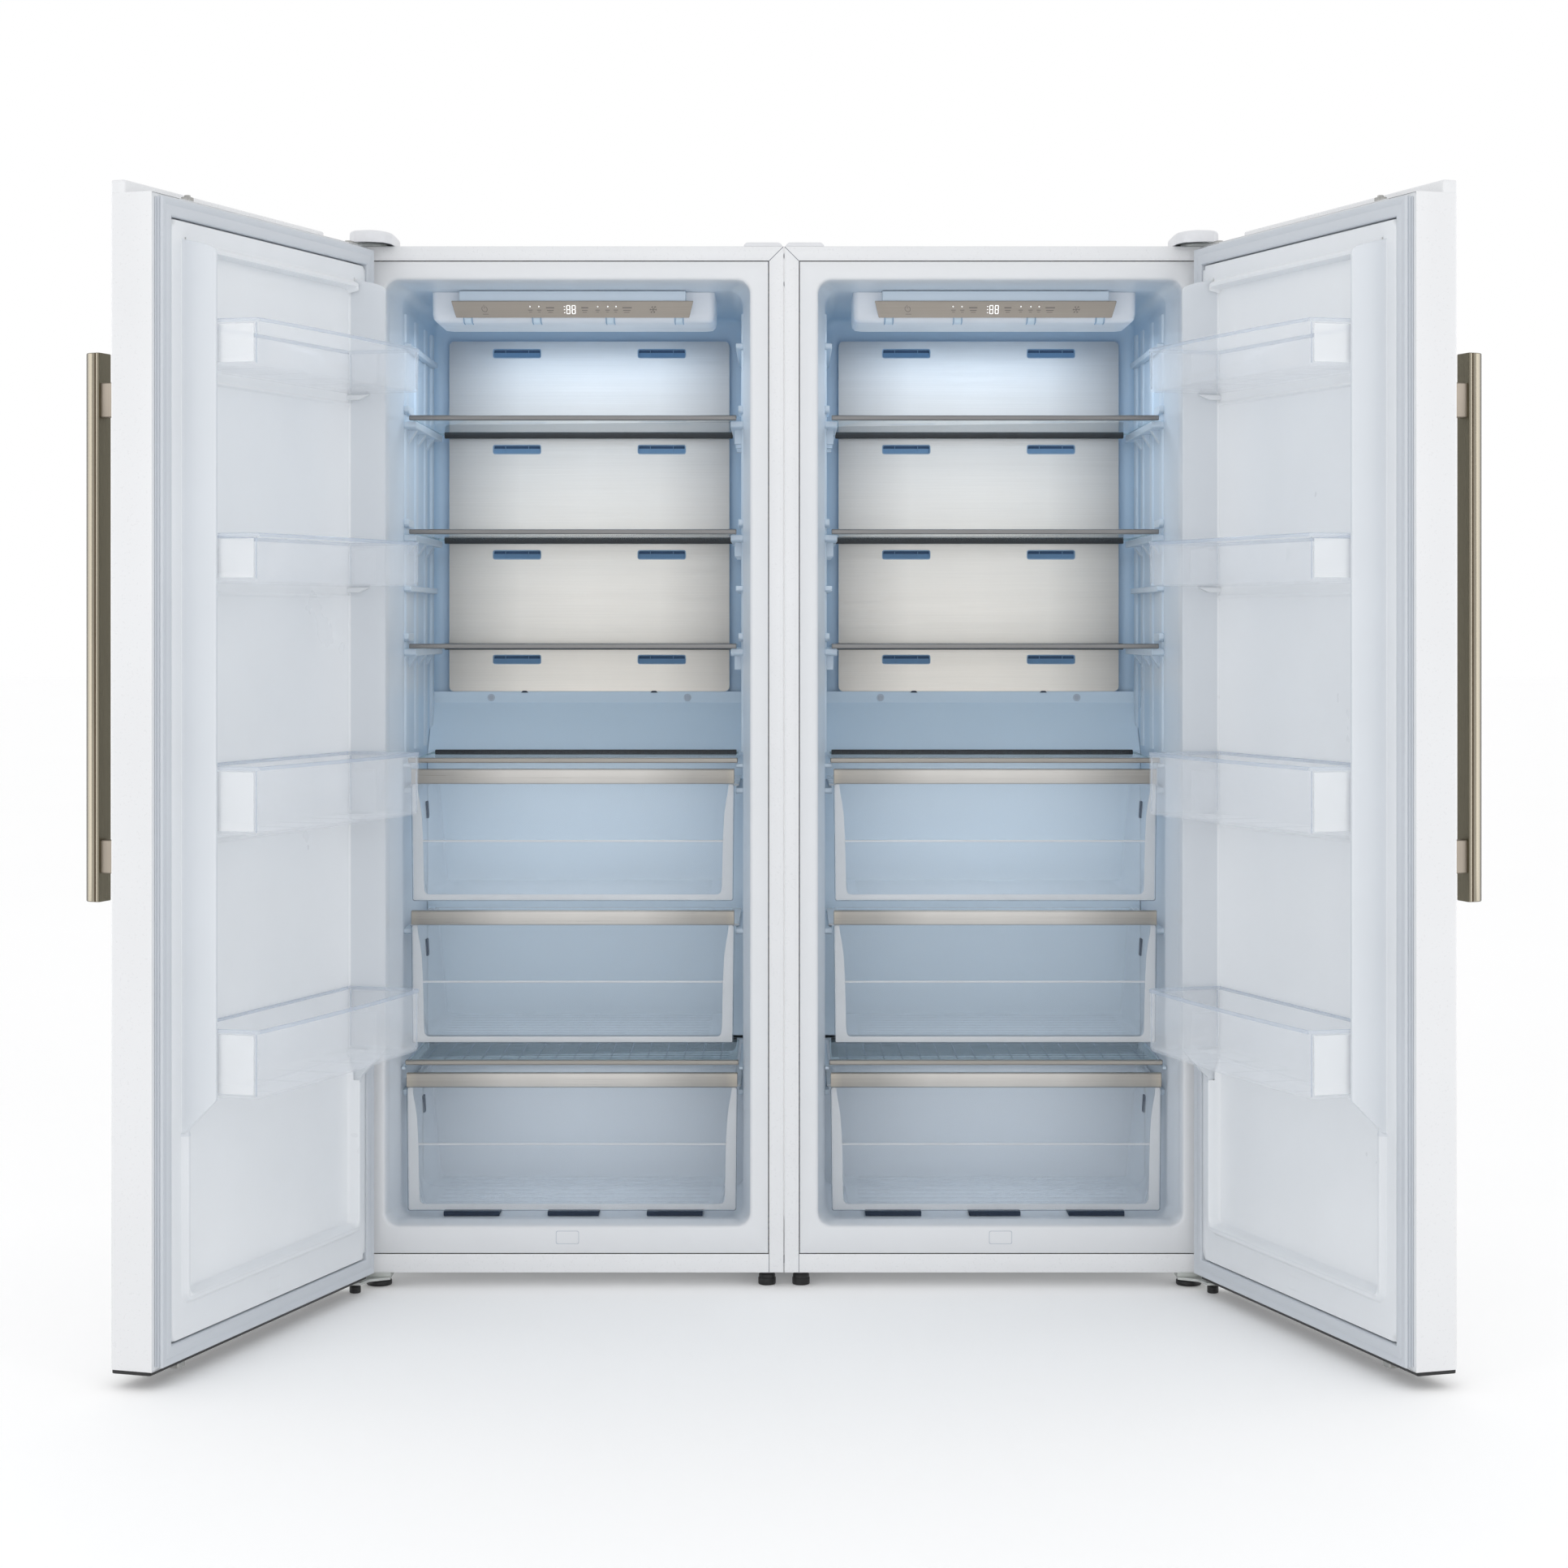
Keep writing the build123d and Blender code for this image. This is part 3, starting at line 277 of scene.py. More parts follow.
# painted shade darkens the handle brass towards its outer crown
M["brass"] = brushed("antique_brass", (0.305, 0.276, 0.219), 2, rough=0.18, metal=0.94, contrast=0.12, aniso=0.0, strength=0.15, rim=0.25)
# darker copies of the handle brass: painted shade on the flat back, painted shadow in the two grooves
M["brass_back"] = brushed("brass_back_painted_shade", (0.155, 0.138, 0.092), 2, rough=0.30, metal=0.94, contrast=0.18, aniso=0.0, strength=0.2)
M["brass_groove_painted_shadow"] = brushed("brass_groove_painted_shadow", (0.12, 0.078, 0.040), 2, rough=0.40, metal=0.85, contrast=0.15, aniso=0.0, strength=0.1)
M["brass_post"] = brushed("pale_brass", (0.44, 0.385, 0.32), 2, rough=0.36, metal=0.75, contrast=0.10)
M["zinc"] = brushed("zinc_plate", (0.62, 0.64, 0.62), 0, rough=0.42, metal=0.85, contrast=0.12)
M["galv"] = brushed("galvanised_sheet", (0.55, 0.57, 0.59), 2, rough=0.48, metal=0.8, contrast=0.12)
M["alu"] = brushed("evaporator_aluminium", (0.70, 0.71, 0.72), 2, rough=0.4, metal=0.9, contrast=0.08)
M["black"] = moulded("black_plastic", (0.012, 0.012, 0.013), rough=0.42, grain=0.14, var=0.3)
M["shelf_black"] = moulded("shelf_rear_black", (0.02, 0.023, 0.027), rough=0.35, var=0.2)
M["blackmetal"] = painted("compressor_enamel", (0.018, 0.018, 0.02), rough=0.4, coat=0.1, var=0.2)
M["foam"] = moulded("insulation_foam", (0.76, 0.68, 0.44), rough=0.85, grain=0.5, var=0.08)
M["gasket"] = moulded("gasket_vinyl", (0.60, 0.635, 0.68), rough=0.5, grain=0.12)
M["cap"] = moulded("cover_plastic", (0.76, 0.77, 0.795), rough=0.35)
M["stop"] = brushed("stop_zinc", (0.40, 0.40, 0.385), 0, rough=0.38, metal=0.85, contrast=0.15)
M["fan"] = moulded("fan_plastic", (0.70, 0.72, 0.74), rough=0.4)
M["clear"] = clear("clear_plastic", (0.93, 0.96, 1.0), 0.055, 0.36, blend=0.30)
M["clear_rim"] = clear("clear_plastic_rim", (0.56, 0.64, 0.76), 0.30, 0.66)
M["drawer"] = clear("drawer_plastic", (0.74, 0.81, 0.88), 0.035, 0.42, rough=0.09, blend=0.30)
# a near-white sheet, a painted sheen on the bins' free end panels
M["clear_panel"] = clear("clear_end_painted_sheen", (0.96, 0.98, 1.0), 0.40, 0.62, rough=0.06)
# near-opaque white, a painted highlight along the drawers' rolled rims
M["lip"] = clear("drawer_lip", (0.97, 0.98, 1.0), 0.85, 0.95, rough=0.06)
M["drawer_edge"] = clear("drawer_plastic_edge", (0.88, 0.90, 0.92), 0.70, 0.86, rough=0.09)
M["drawer_rim"] = clear("drawer_plastic_rim", (0.22, 0.27, 0.33), 0.50, 0.80, rough=0.09)
M["glass"] = clear("shelf_glass", (0.72, 0.82, 0.84), 0.05, 0.34, rough=0.02, wave=False, blend=0.35)
M["glass_low"] = clear("drawer_cover_glass", (0.36, 0.52, 0.58), 0.16, 0.60, rough=0.03, wave=False)
M["glass_edge"] = clear("glass_edge", (0.25, 0.45, 0.47), 0.50, 0.80, rough=0.05, wave=False)
M["icon"] = moulded("icon_white", (0.85, 0.84, 0.82), rough=0.4)
M["mark"] = moulded("icon_grey", (0.20, 0.185, 0.17), rough=0.5)
M["dark"] = moulded("dark_slot", (0.03, 0.05, 0.09), rough=0.6, var=0.1)
M["vent"] = moulded("vent_blue", (0.26, 0.44, 0.66), rough=0.5)
# a near-black copy of the vent blue, a painted shadow for the top of each vent throat
M["vent_painted_shadow"] = moulded("vent_painted_shadow", (0.05, 0.11, 0.21), rough=0.6)
M["vent_rim"] = moulded("vent_rim", (0.34, 0.50, 0.68), rough=0.35)

lamp = NT("lamp_diffuser")
f = lamp.noise((14, 14, 14), detail=3)
lamp.link(lamp.ramp(f, [(0.3, (0.70, 0.72, 0.76)), (0.7, (0.76, 0.78, 0.82))]), "Base Color")
lamp.bump(lamp.noise((420, 420, 420), detail=2), 0.15, 0.0004)
lamp.put(Roughness=0.35)
lamp.p.inputs["Emission Color"].default_value = (0.78, 0.89, 1.0, 1.0)
lamp.p.inputs["Emission Strength"].default_value = 0.10
M["lamp"] = lamp.m

digit = NT("display_digits")
f = digit.noise((50, 50, 50), detail=2)
digit.link(digit.ramp(f, [(0.3, (0.95, 0.95, 0.95)), (0.7, (1, 1, 1))]), "Base Color")
digit.p.inputs["Emission Color"].default_value = (1, 1, 1, 1)
digit.p.inputs["Emission Strength"].default_value = 0.9
M["digit"] = digit.m


# ---------------------------------------------------------------- mesh helpers
def rrect(x0, x1, z0, z1, r, n=8):
    """Closed loop of a rounded rectangle, anticlockwise in (x, z), the same count for every radius."""
    r = max(r, 0.02)
    out = []
    for cx, cz, a0 in ((x1 - r, z0 + r, -90), (x1 - r, z1 - r, 0), (x0 + r, z1 - r, 90), (x0 + r, z0 + r, 180)):
        for i in range(n + 1):
            a = math.radians(a0 + 90.0 * i / n)
            out.append((cx + r * math.cos(a), cz + r * math.sin(a)))
    return out


def bowed(x0, x1, y0, y1, r, bow, n=8, k=16):
    """Closed loop in (x, y): rounded corners and a front edge (towards y1) that bows out."""
    out = []
    for cx, cy, a0 in ((x1 - r, y1 - r, 0), (x0 + r, y1 - r, 90), (x0 + 2.0, y0 + 2.0, 180), (x1 - 2.0, y0 + 2.0, 270)):
        rr = r if a0 in (0, 90) else 2.0
        for i in range(n + 1):
            a = math.radians(a0 + 90.0 * i / n)
            out.append((cx + rr * math.cos(a), cy + rr * math.sin(a)))
        if a0 == 0:
            for i in range(1, k):
                out.append((x1 - r + (x0 + r - x1 + r) * i / k, y1))
    xm, hw = (x0 + x1) / 2, (x1 - x0) / 2
    res = []
    for x, y in out:
        t = max(0.0, (y - y0) / (y1 - y0))
        res.append((x, y + bow * (1 - ((x - xm) / hw) ** 2) * t ** 3))
    return res


class Shape:
    """Vertices in mm in the modelling frame of the left unit with its door closed."""

    def __init__(self):
        self.v, self.f, self.mi = [], [], []

    def rings(self, rings, cap0=False, cap1=False, close=False, mat=0, flip=False):
        base, n = len(self.v), len(rings[0])
        for r in rings:
            self.v += [tuple(p) for p in r]
        k = len(rings)
        for i in range(k if close else k - 1):
            a, b = base + i * n, base + ((i + 1) % k) * n
            for j in range(n):
                j2 = (j + 1) % n
                q = (a + j, a + j2, b + j2, b + j)
                self.f.append(q[::-1] if flip else q)
                self.mi.append(mat)
        if cap0:
            q = tuple(base + j for j in range(n))[::-1]
            self.f.append(q[::-1] if flip else q)
            self.mi.append(mat)
        if cap1:
            q = tuple(base + (k - 1) * n + j for j in range(n))
            self.f.append(q[::-1] if flip else q)
            self.mi.append(mat)
        return self

    def prism(self, pts, axis, a, b, mat=0):
        """A polygon extruded along an axis; pts are in the two other axes in X, Y, Z order."""
        def p3(u, v, w):
            return {0: (w, u, v), 1: (u, w, v), 2: (u, v, w)}[axis]
        r0 = [p3(u, v, a) for u, v in pts]
        r1 = [p3(u, v, b) for u, v in pts]
        return self.rings([r0, r1], cap0=True, cap1=True, mat=mat)

    def box(self, x0, x1, y0, y1, z0, z1, mat=0):
        return self.prism([(x0, y0), (x1, y0), (x1, y1), (x0, y1)], 2, z0, z1, mat)

    def grid(self, xs, zs, hfun, mat=0):
        base = len(self.v)
        for z in zs:
            for x in xs:
                self.v.append((x, hfun(x, z), z))
        n = len(xs)
        for j in range(len(zs) - 1):
            for i in range(n - 1):
                a = base + j * n + i
                self.f.append((a, a + n, a + n + 1, a + 1))
                self.mi.append(mat)
        return self


def make(name, shape, side, mats, body, door=False, bevel=0.0, segs=2, sharp=38, solidify=0.0, repl=None, recalc=True, limit=35):
    pts = []
    ca, sa = math.cos(OPEN), math.sin(OPEN)
    for x, y, z in shape.v:
        if door:
            dx, dy = x - PX, y - PY
            x, y = PX + dx * ca - dy * sa, PY + dx * sa + dy * ca
        pts.append(((x if side == "left" else -x) * MM, (y + FY) * MM, z * MM))
    me = bpy.data.meshes.new(name)
    faces = shape.f if side == "left" else [tuple(reversed(q)) for q in shape.f]
    me.from_pydata(pts, [], faces)
    me.polygons.foreach_set("material_index", shape.mi)
    for m in mats:
        me.materials.append(M[m])
    bm = bmesh.new()
    bm.from_mesh(me)
    bmesh.ops.remove_doubles(bm, verts=bm.verts, dist=0.00002)
    if recalc:
        bmesh.ops.recalc_face_normals(bm, faces=bm.faces)
    bm.to_mesh(me)
    bm.free()
    me.polygons.foreach_set("use_smooth", [True] * len(me.polygons))
    me.set_sharp_from_angle(angle=math.radians(sharp))
    me.update()
    ob = bpy.data.objects.new(name, me)
    scene.collection.objects.link(ob)
    if solidify:
        s = ob.modifiers.new("thickness", "SOLIDIFY")
        s.thickness = abs(solidify) * MM
        s.offset = -1.0 if solidify > 0 else 1.0
    if bevel:
        b = ob.modifiers.new("edge", "BEVEL")
        b.width = bevel * MM
        b.segments = segs
        b.limit_method = "ANGLE"
        b.angle_limit = math.radians(limit)
        b.harden_normals = False
        w = ob.modifiers.new("normals", "WEIGHTED_NORMAL")
        w.keep_sharp = True
    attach(ob, body)
    if repl:
        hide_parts(repl)
    return ob


def dress(node, mat, bevel=0.0, segs=2, sharp=35):
    """A carried CAD node: material, smooth curved faces and softened edges."""
    ob = NODES[node]
    ob.data.materials.clear()
    ob.data.materials.append(M[mat])
    ob.data.polygons.foreach_set("use_smooth", [True] * len(ob.data.polygons))
    w = ob.modifiers.new("weld", "WELD")
    w.merge_threshold = 0.00002
    if bevel:
        b = ob.modifiers.new("edge", "BEVEL")
        b.width = bevel * MM
        b.segments = segs
        b.limit_method = "ANGLE"
        b.angle_limit = math.radians(sharp)
    e = ob.modifiers.new("split", "EDGE_SPLIT")
    e.split_angle = math.radians(sharp)
    return ob


def smooth(t):
    t = max(0.0, min(1.0, t))
    return t * t * (3 - 2 * t)


def smax(a, b, k):
    h = max(k - abs(a - b), 0.0) / k
    return max(a, b) + h * h * k * 0.25


def inside(x, z, x0, x1, z0, z1, r):
    """Distance inside a rounded rectangle, positive inside."""
    cx, cz = (x0 + x1) / 2, (z0 + z1) / 2
    qx, qz = abs(x - cx) - ((x1 - x0) / 2 - r), abs(z - cz) - ((z1 - z0) / 2 - r)
    return -(math.hypot(max(qx, 0), max(qz, 0)) + min(max(qx, qz), 0) - r)


def ticks(*spans):
    """Sorted grid lines from (start, end, step) spans."""
    out = set()
    for a, b, s in spans:
        k = max(1, int(round((b - a) / s)))
        for i in range(k + 1):
            out.add(round(a + (b - a) * i / k, 3))
    return sorted(out)


# ---------------------------------------------------------------- cabinets
def ring_xz(d, z0, z1, r, y, n=8):
    return [(x, y, z) for x, z in rrect(-W + d, -d, z0, z1, r, n)]


def cabinet_shell():
    """Folded steel wrapper: rounded front edges and a return flange."""
    s = Shape()
    z0, z1 = 25.0, 1708.0
    def rect(d, za, zb, y, r=0.4):
        return [(x, y, z) for x, z in rrect(-W + d, -d, za, zb, r, 2)]
    outer = [rect(0.5, z0, z1, 649.4), rect(0.5, z0, z1, 2.6), rect(0.8, z0 + 0.3, z1 - 0.3, 1.1), rect(1.6, z0 + 1.1, z1 - 1.1, 0.3), rect(3.0, z0 + 2.5, z1 - 2.5, 0.0)]
    # the flange is wider along the bottom
    fl = [[(x, y, z) for x, z in rrect(-W + d, -d, b, t, 0.3, 2)] for d, b, t, y in ((23.9, 55.4, 1684.6, 0.0), (24.4, 55.9, 1684.1, 0.4), (24.4, 55.9, 1684.1, 1.0), (2.5, 27.0, 1706.0, 1.0), (1.5, 26.0, 1707.0, 3.0), (1.5, 26.0, 1707.0, 649.0), (0.8, 25.3, 1707.7, 649.9))]
    s.rings(outer + fl, close=True)
    return s


def seam_lines():
    """Dark bottom of the groove round the liner flange, and the mitre and butt joints of the steel frame."""
    s = Shape()
    a = [(x, 2.3, z) for x, z in rrect(-W + 22.0, -22.0, 53.5, 1686.5, 0.4, 2)]
    b = [(x, 2.3, z) for x, z in rrect(-W + 29.0, -29.0, 60.5, 1679.5, 0.4, 2)]
    c = [(x, 2.9, z) for x, z in rrect(-W + 29.0, -29.0, 60.5, 1679.5, 0.4, 2)]
    d = [(x, 2.9, z) for x, z in rrect(-W + 22.0, -22.0, 53.5, 1686.5, 0.4, 2)]
    s.rings([a, b, c, d], close=True)
    for sx in (0, 1):
        def X(v):
            return -v if sx == 0 else -W + v
        w = 0.45
        for (xa, za), (xb, zb) in (((1.2, 1706.9), (24.4, 1683.7)), ((24.4, 56.0), (24.4, 26.2))):
            l = math.hypot(xb - xa, zb - za)
            nx, nz = -(zb - za) / l * w, (xb - xa) / l * w
            s.prism([(X(xa + nx), za + nz), (X(xb + nx), zb + nz), (X(xb - nx), zb - nz), (X(xa - nx), za - nz)], 1, -0.06, 0.4)
    return s


def cabinet_rear():
    s = Shape()
    s.box(-W + 1.6, -1.6, 648.6, 649.8, 302.0, 1706.8)
    s.box(-W + 1.6, -W + 68, 648.6, 649.8, 26.2, 302.0)
    s.box(-68, -1.6, 648.6, 649.8, 26.2, 302.0)
    # stiffening swages pressed into the sheet
    for z in (520, 820, 1120, 1420):
        r2 = [(x, 651.2, zz) for x, zz in rrect(-W + 93, -93, z - 6, z + 6, 6, 6)]
        s.rings([[(x, 649.7, zz) for x, zz in rrect(-W + 90, -90, z - 9, z + 9, 9, 6)], r2], cap1=True)
    return s


def inner_liner():
    s = Shape()
    rr = []
    for d, za, zb, r, y in (
        (26.3, 57.8, 1682.2, 0.4, 2.4), (26.0, 57.5, 1682.5, 0.4, 0.7), (26.7, 58.2, 1681.8, 0.5, 0.02),
        (50.0, 96.0, 1658.5, 27.0, 0.0), (52.6, 98.6, 1655.9, 25.0, 0.45), (54.8, 100.8, 1653.7, 23.0, 2.0), (56.0, 102.0, 1652.5, 22.0, 5.0),
        (56.0, 102.0, 1652.5, 22.0, 54.0), (56.2, 101.9, 1652.4, 22.0, 59.0), (57.2, 101.1, 1652.1, 22.2, 66.0),
        (67.6, 93.1, 1648.5, 24.6, 124.0), (68.7, 92.2, 1648.1, 25.0, 130.0), (69.0, 92.0, 1648.0, 25.0, 137.0),
        (69.0, 92.0, 1648.0, 25.0, 580.0), (71.0, 94.0, 1646.0, 23.0, 591.0), (77.0, 100.0, 1640.0, 18.0, 597.5), (88.0, 111.0, 1629.0, 12.0, 599.8),
    ):
        rr.append(ring_xz(d, za, zb, r, y))
    s.rings(rr, cap1=True)
    return s


def liner_hump():
    s = Shape()
    pts = [(425.0, 80.0), (425.0, 296.0), (426.5, 303.0), (430.0, 309.0), (462.0, 338.0), (468.0, 342.5), (476.0, 345.0), (599.0, 345.0), (599.0, 80.0)]
    s.prism(pts, 0, -W + 69.3, -69.3)
    return s


def side_pieces():
    """Shelf ledges, anti-tip stubs and drawer runners on the two side walls."""
    out = []
    def rib(depth, z0, z1, y0, y1):
        for side in (0, 1):
            xa, xb = (-W + 68.6, -W + 69 + depth) if side == 0 else (-69 - depth, -68.6)
            s = Shape()
            s.prism([(y0, z0 + (z1 - z0) * 0.35), (y0 + (z1 - z0) * 0.5, z0), (y1, z0), (y1, z1), (y0, z1)], 0, xa, xb)
            out.append(s)
    for z in SHELF_Z:
        rib(21.0, z - 12.5, z - 0.5, 150.0, 560.0)
        rib(8.0, z + 12.0, z + 26.0, 150.0, 230.0)
    for z in (1562.0, 1153.0):
        rib(12.0, z - 10.0, z, 150.0, 560.0)
    rib(12.0, 846.5, 853.5, 140.0, 486.0)
    rib(6.5, 341.0, 346.5, 118.0, 415.0)
    rib(12.5, 802.0, 812.0, 150.0, 470.0)
    rib(12.5, 565.0, 575.0, 150.0, 470.0)
    rib(7.0, 295.0, 305.0, 140.0, 405.0)
    merged = Shape()
    for s in out:
        b = len(merged.v)
        merged.v += s.v
        merged.f += [tuple(i + b for i in q) for q in s.f]
        merged.mi += s.mi
    return merged


def columns():
    s = Shape()
    for side in (0, 1):
        def X(d):
            return -W + d if side == 0 else -d
        for y0, y1, h in ((158, 196, 3.2), (300, 338, 3.2), (442, 480, 3.2), (540, 572, 5.0)):
            prof = [(68.5, y0), (69.2, y0), (69.0 + h * 0.7, y0 + 2.2), (69.0 + h, y0 + 5.5), (69.0 + h, y1 - 5.5), (69.0 + h * 0.7, y1 - 2.2), (69.2, y1), (68.5, y1)]
            s.prism([(X(d), y) for d, y in prof], 2, 872.0, 1612.0)
    # brackets in front of each ledge
    for z in SHELF_Z:
        for side in (0, 1):
            xa, xb = (-W + 68.8, -W + 84) if side == 0 else (-84, -68.8)
            for y in (200, 330, 460):
                s.prism([(xa, z - 36.0), (xb if side == 0 else xa, z - 13.0) if side == 0 else (xb, z - 36.0), (xb, z - 12.4) if side == 0 else (xb, z - 12.4), (xa, z - 12.4)], 1, y, y + 26)
    return s


def vent_rims():
    s = Shape()
    for z in VENT_Z:
        for k in (-1, 1):
            x = XC + k * 132
            loops = []
            for inset, y, r in ((-1.7, 586.0, 4.4), (-1.4, 585.4, 4.1), (-0.6, 585.1, 3.2), (0.1, 585.4, 2.6), (0.5, 586.6, 2.2), (0.8, 592.0, 2.0)):
                loops.append([(a, y, b) for a, b in rrect(x - 42.5 + inset, x + 42.5 - inset, z - 7 + inset, z + 7 - inset, r, 5)])
            s.rings(loops)
    return s


def vent_throats():
    s = Shape()
    for z in VENT_Z:
        for k in (-1, 1):
            x = XC + k * 132
            # the throat slopes back, so its lower part catches the light
            s.prism([(587.0, z - 7.6), (598.0, z - 7.6), (598.0, z + 1.5), (591.5, z + 1.5)], 0, x - 43.5, x + 43.5, 0)
            # the upper part of the throat is a near-black sheet, a painted shadow
            s.prism([(591.5, z + 1.5), (598.0, z + 1.5), (598.0, z + 7.6), (591.5, z + 7.6)], 0, x - 43.5, x + 43.5, 1)
            # two guide vanes inside the slot
            for i in (-1, 1):
                vx = x + i * 21
                s.box(vx - 0.4, vx + 0.4, 588.2, 592.5, z - 6, z + 6, 0)
    return s


def cover_plugs():
    """Two round plugs on the evaporator cover, and the two snap tabs under the duct panel."""
    s = Shape()
    for k in (-179, 179):
        loops = []
        for r, y in ((6.6, 586.2), (6.6, 585.5), (6.2, 585.1), (5.7, 585.1), (5.4, 585.7), (4.9, 585.7), (4.6, 585.2), (3.0, 584.9)):
            loops.append([(XC + k + r * math.cos(a), y, 954.5 + r * math.sin(a)) for a in [2 * math.pi * i / 32 for i in range(32)]])
        s.rings(loops, cap0=True, cap1=True)
    for k in (-118, 118):
        s.prism([(XC + k - 6.5, 963.6), (XC + k + 6.5, 963.6), (XC + k + 3.5, 967.0), (XC + k - 3.5, 967.0)], 1, 584.9, 586.6, 1)
    return s


def lamp_shape():
    s = Shape()
    loops = []
    for d, y0, y1, z in ((0.0, 147.0, 337.0, 1647.5), (0.0, 150.0, 334.0, 1612.0), (1.5, 152.0, 332.0, 1603.0), (6.0, 156.5, 327.0, 1598.4), (14.0, 164.0, 320.0, 1597.0)):
        loops.append([(x, y, z) for x, y in rrect(XC - 238 + d, XC + 238 - d, y0, y1, 10.0, 6)])
    s.rings(loops, cap0=True, cap1=True)
    return s


def lamp_tabs():
    s = Shape()
    for x in (-178, -62, 62, 178):
        s.prism([(146.2, 1626.0), (146.2, 1612.0), (149.4, 1602.4), (154.6, 1597.4), (162.4, 1596.0), (176.0, 1595.9), (176.0, 1600.0), (151.0, 1626.0)], 0, XC + x - 6, XC + x + 6)
        for e in (-7.0, 7.0):
            s.prism([(145.6, 1626.0), (145.6, 1612.0), (148.9, 1602.0), (154.3, 1596.8), (162.4, 1595.4), (176.0, 1595.3), (176.0, 1600.0), (151.0, 1626.0)], 0, XC + x + e - 0.7, XC + x + e + 0.7, 1)
    return s


def panel_face():
    """The slanted plate: points run across its width and down its slope."""
    s = Shape()
    def loop(g, off):
        pts = []
        for u, v in rrect(-203 + g, 203 - g, 0 + g * 0.7, 27.0 - g * 0.7, 1.2, 3):
            t = v / 27.0                      # 0 at the lower edge
            x = XC + u * (1 - 0.035 * (1 - t))
            y = 131.0 - 13.0 * t
            z = 1603.0 + 26.5 * t
            nx = (-0.897, -0.441)
            pts.append((x, y + nx[0] * off, z + nx[1] * off))
        return pts
    s.rings([loop(0, -2.4), loop(0, -0.5), loop(0.5, 0.0)], cap0=True, cap1=True)
    return s


def on_panel(u, v, lift):
    """A point on the control panel: u across from its centre, v up from the lower edge, in mm."""
    t = v / 27.0
    return (XC + u * (1 - 0.035 * (1 - t)), 131.0 - 13.0 * t - 0.897 * lift, 1603.0 + 26.5 * t - 0.441 * lift)


def plate(s, pts, lift0, lift1, mat=0):
    s.rings([[on_panel(u, v, lift0) for u, v in pts], [on_panel(u, v, lift1) for u, v in pts]], cap0=True, cap1=True, mat=mat)


def bar(s, u0, v0, u1, v1, w, mat=0, mirror=1):
    dx, dy = u1 - u0, v1 - v0
    l = math.hypot(dx, dy)
    nx, ny = -dy / l * w / 2, dx / l * w / 2
    pts = [(u0 + nx, v0 + ny), (u0 - nx, v0 - ny), (u1 - nx, v1 - ny), (u1 + nx, v1 + ny)]
    plate(s, pts, -0.4, 0.25, mat)


def icons(mirror):
    """Power ring, seven-segment digits and plain indicator marks, with no wording. mirror is not used; build() keeps
    the digits readable on the right unit.
    """
    s = Shape()
    def arc(cu, cv, r, w, a0, a1, n=14, mat=0):
        for i in range(n):
            b0, b1 = math.radians(a0 + (a1 - a0) * i / n), math.radians(a0 + (a1 - a0) * (i + 1) / n)
            pts = [(cu + (r - w) * math.cos(b0), cv + (r - w) * math.sin(b0)), (cu + r * math.cos(b0), cv + r * math.sin(b0)),
                   (cu + r * math.cos(b1), cv + r * math.sin(b1)), (cu + (r - w) * math.cos(b1), cv + (r - w) * math.sin(b1))]
            plate(s, pts, -0.4, 0.25, mat)
    k = mirror
    arc(-150 * 1, 14.5, 5.0, 0.9, 120, 420, mat=1)
    bar(s, -150, 15.5, -150, 21.0, 0.9, 1)
    bar(s, -155, 6.0, -145, 6.0, 0.8, 1)
    # two digits, all segments lit
    for cu in (-2.5 * 1 - 4.6, -2.5 + 4.6):
        h, w = 6.6, 5.4
        for u0, v0, u1, v1 in ((-w / 2, 0, w / 2, 0), (-w / 2, h, w / 2, h), (-w / 2, -h, w / 2, -h), (-w / 2, 0.5, -w / 2, h - 0.5), (w / 2, 0.5, w / 2, h - 0.5), (-w / 2, -0.5, -w / 2, -h + 0.5), (w / 2, -0.5, w / 2, -h + 0.5)):
            bar(s, cu + u0, 13.5 + v0, cu + u1, 13.5 + v1, 1.0, 0)
    for v in (18.5, 13.5, 8.5):
        bar(s, -14.6, v, -12.6, v, 1.0, 0)
    # indicator dots with a bar mark under each
    for u in (-72, -57, 43, 60, 74):
        arc(u, 18.5, 1.1, 1.05, 0, 360, 8, 0)
        bar(s, u - 3.6, 12.6, u + 3.6, 12.6, 1.1, 1)
        bar(s, u - 2.4, 9.6, u + 2.4, 9.6, 0.7, 1)
    for u, w in ((-38, 7.0), (21, 6.0), (93, 8.0)):
        bar(s, u - w, 16.5, u + w, 16.5, 1.8, 1)
        bar(s, u - w * 0.8, 12.2, u + w * 0.8, 12.2, 1.2, 1)
        bar(s, u - w * 0.6, 9.0, u + w * 0.6, 9.0, 0.8, 1)
    # a generic snowflake in place of any wording
    for i in range(6):
        a = math.radians(60 * i)
        cu, cv = 138, 13.5
        bar(s, cu, cv, cu + 6.2 * math.cos(a), cv + 6.2 * math.sin(a), 0.8, 1)
        for b in (a + 0.7, a - 0.7):
            mu, mv = cu + 3.8 * math.cos(a), cv + 3.8 * math.sin(a)
            bar(s, mu, mv, mu + 2.2 * math.cos(b), mv + 2.2 * math.sin(b), 0.7, 1)
    return s


def glass_plate(x0, x1, y0, y1, z0, z1):
    s = Shape()
    loops = []
    for i, z in ((0.8, z0), (0.0, z0 + 0.8), (0.0, z1 - 0.8), (0.8, z1)):
        loops.append([(x, y, z) for x, y in rrect(x0 + i, x1 - i, y0 + i, y1 - i, 3.0, 4)])
    s.rings(loops, cap0=True, cap1=True)
    for q in range(len(s.mi)):
        s.mi[q] = 0
    n = len(loops[0])
    for q in range(3 * n):
        s.mi[q] = 1
    return s


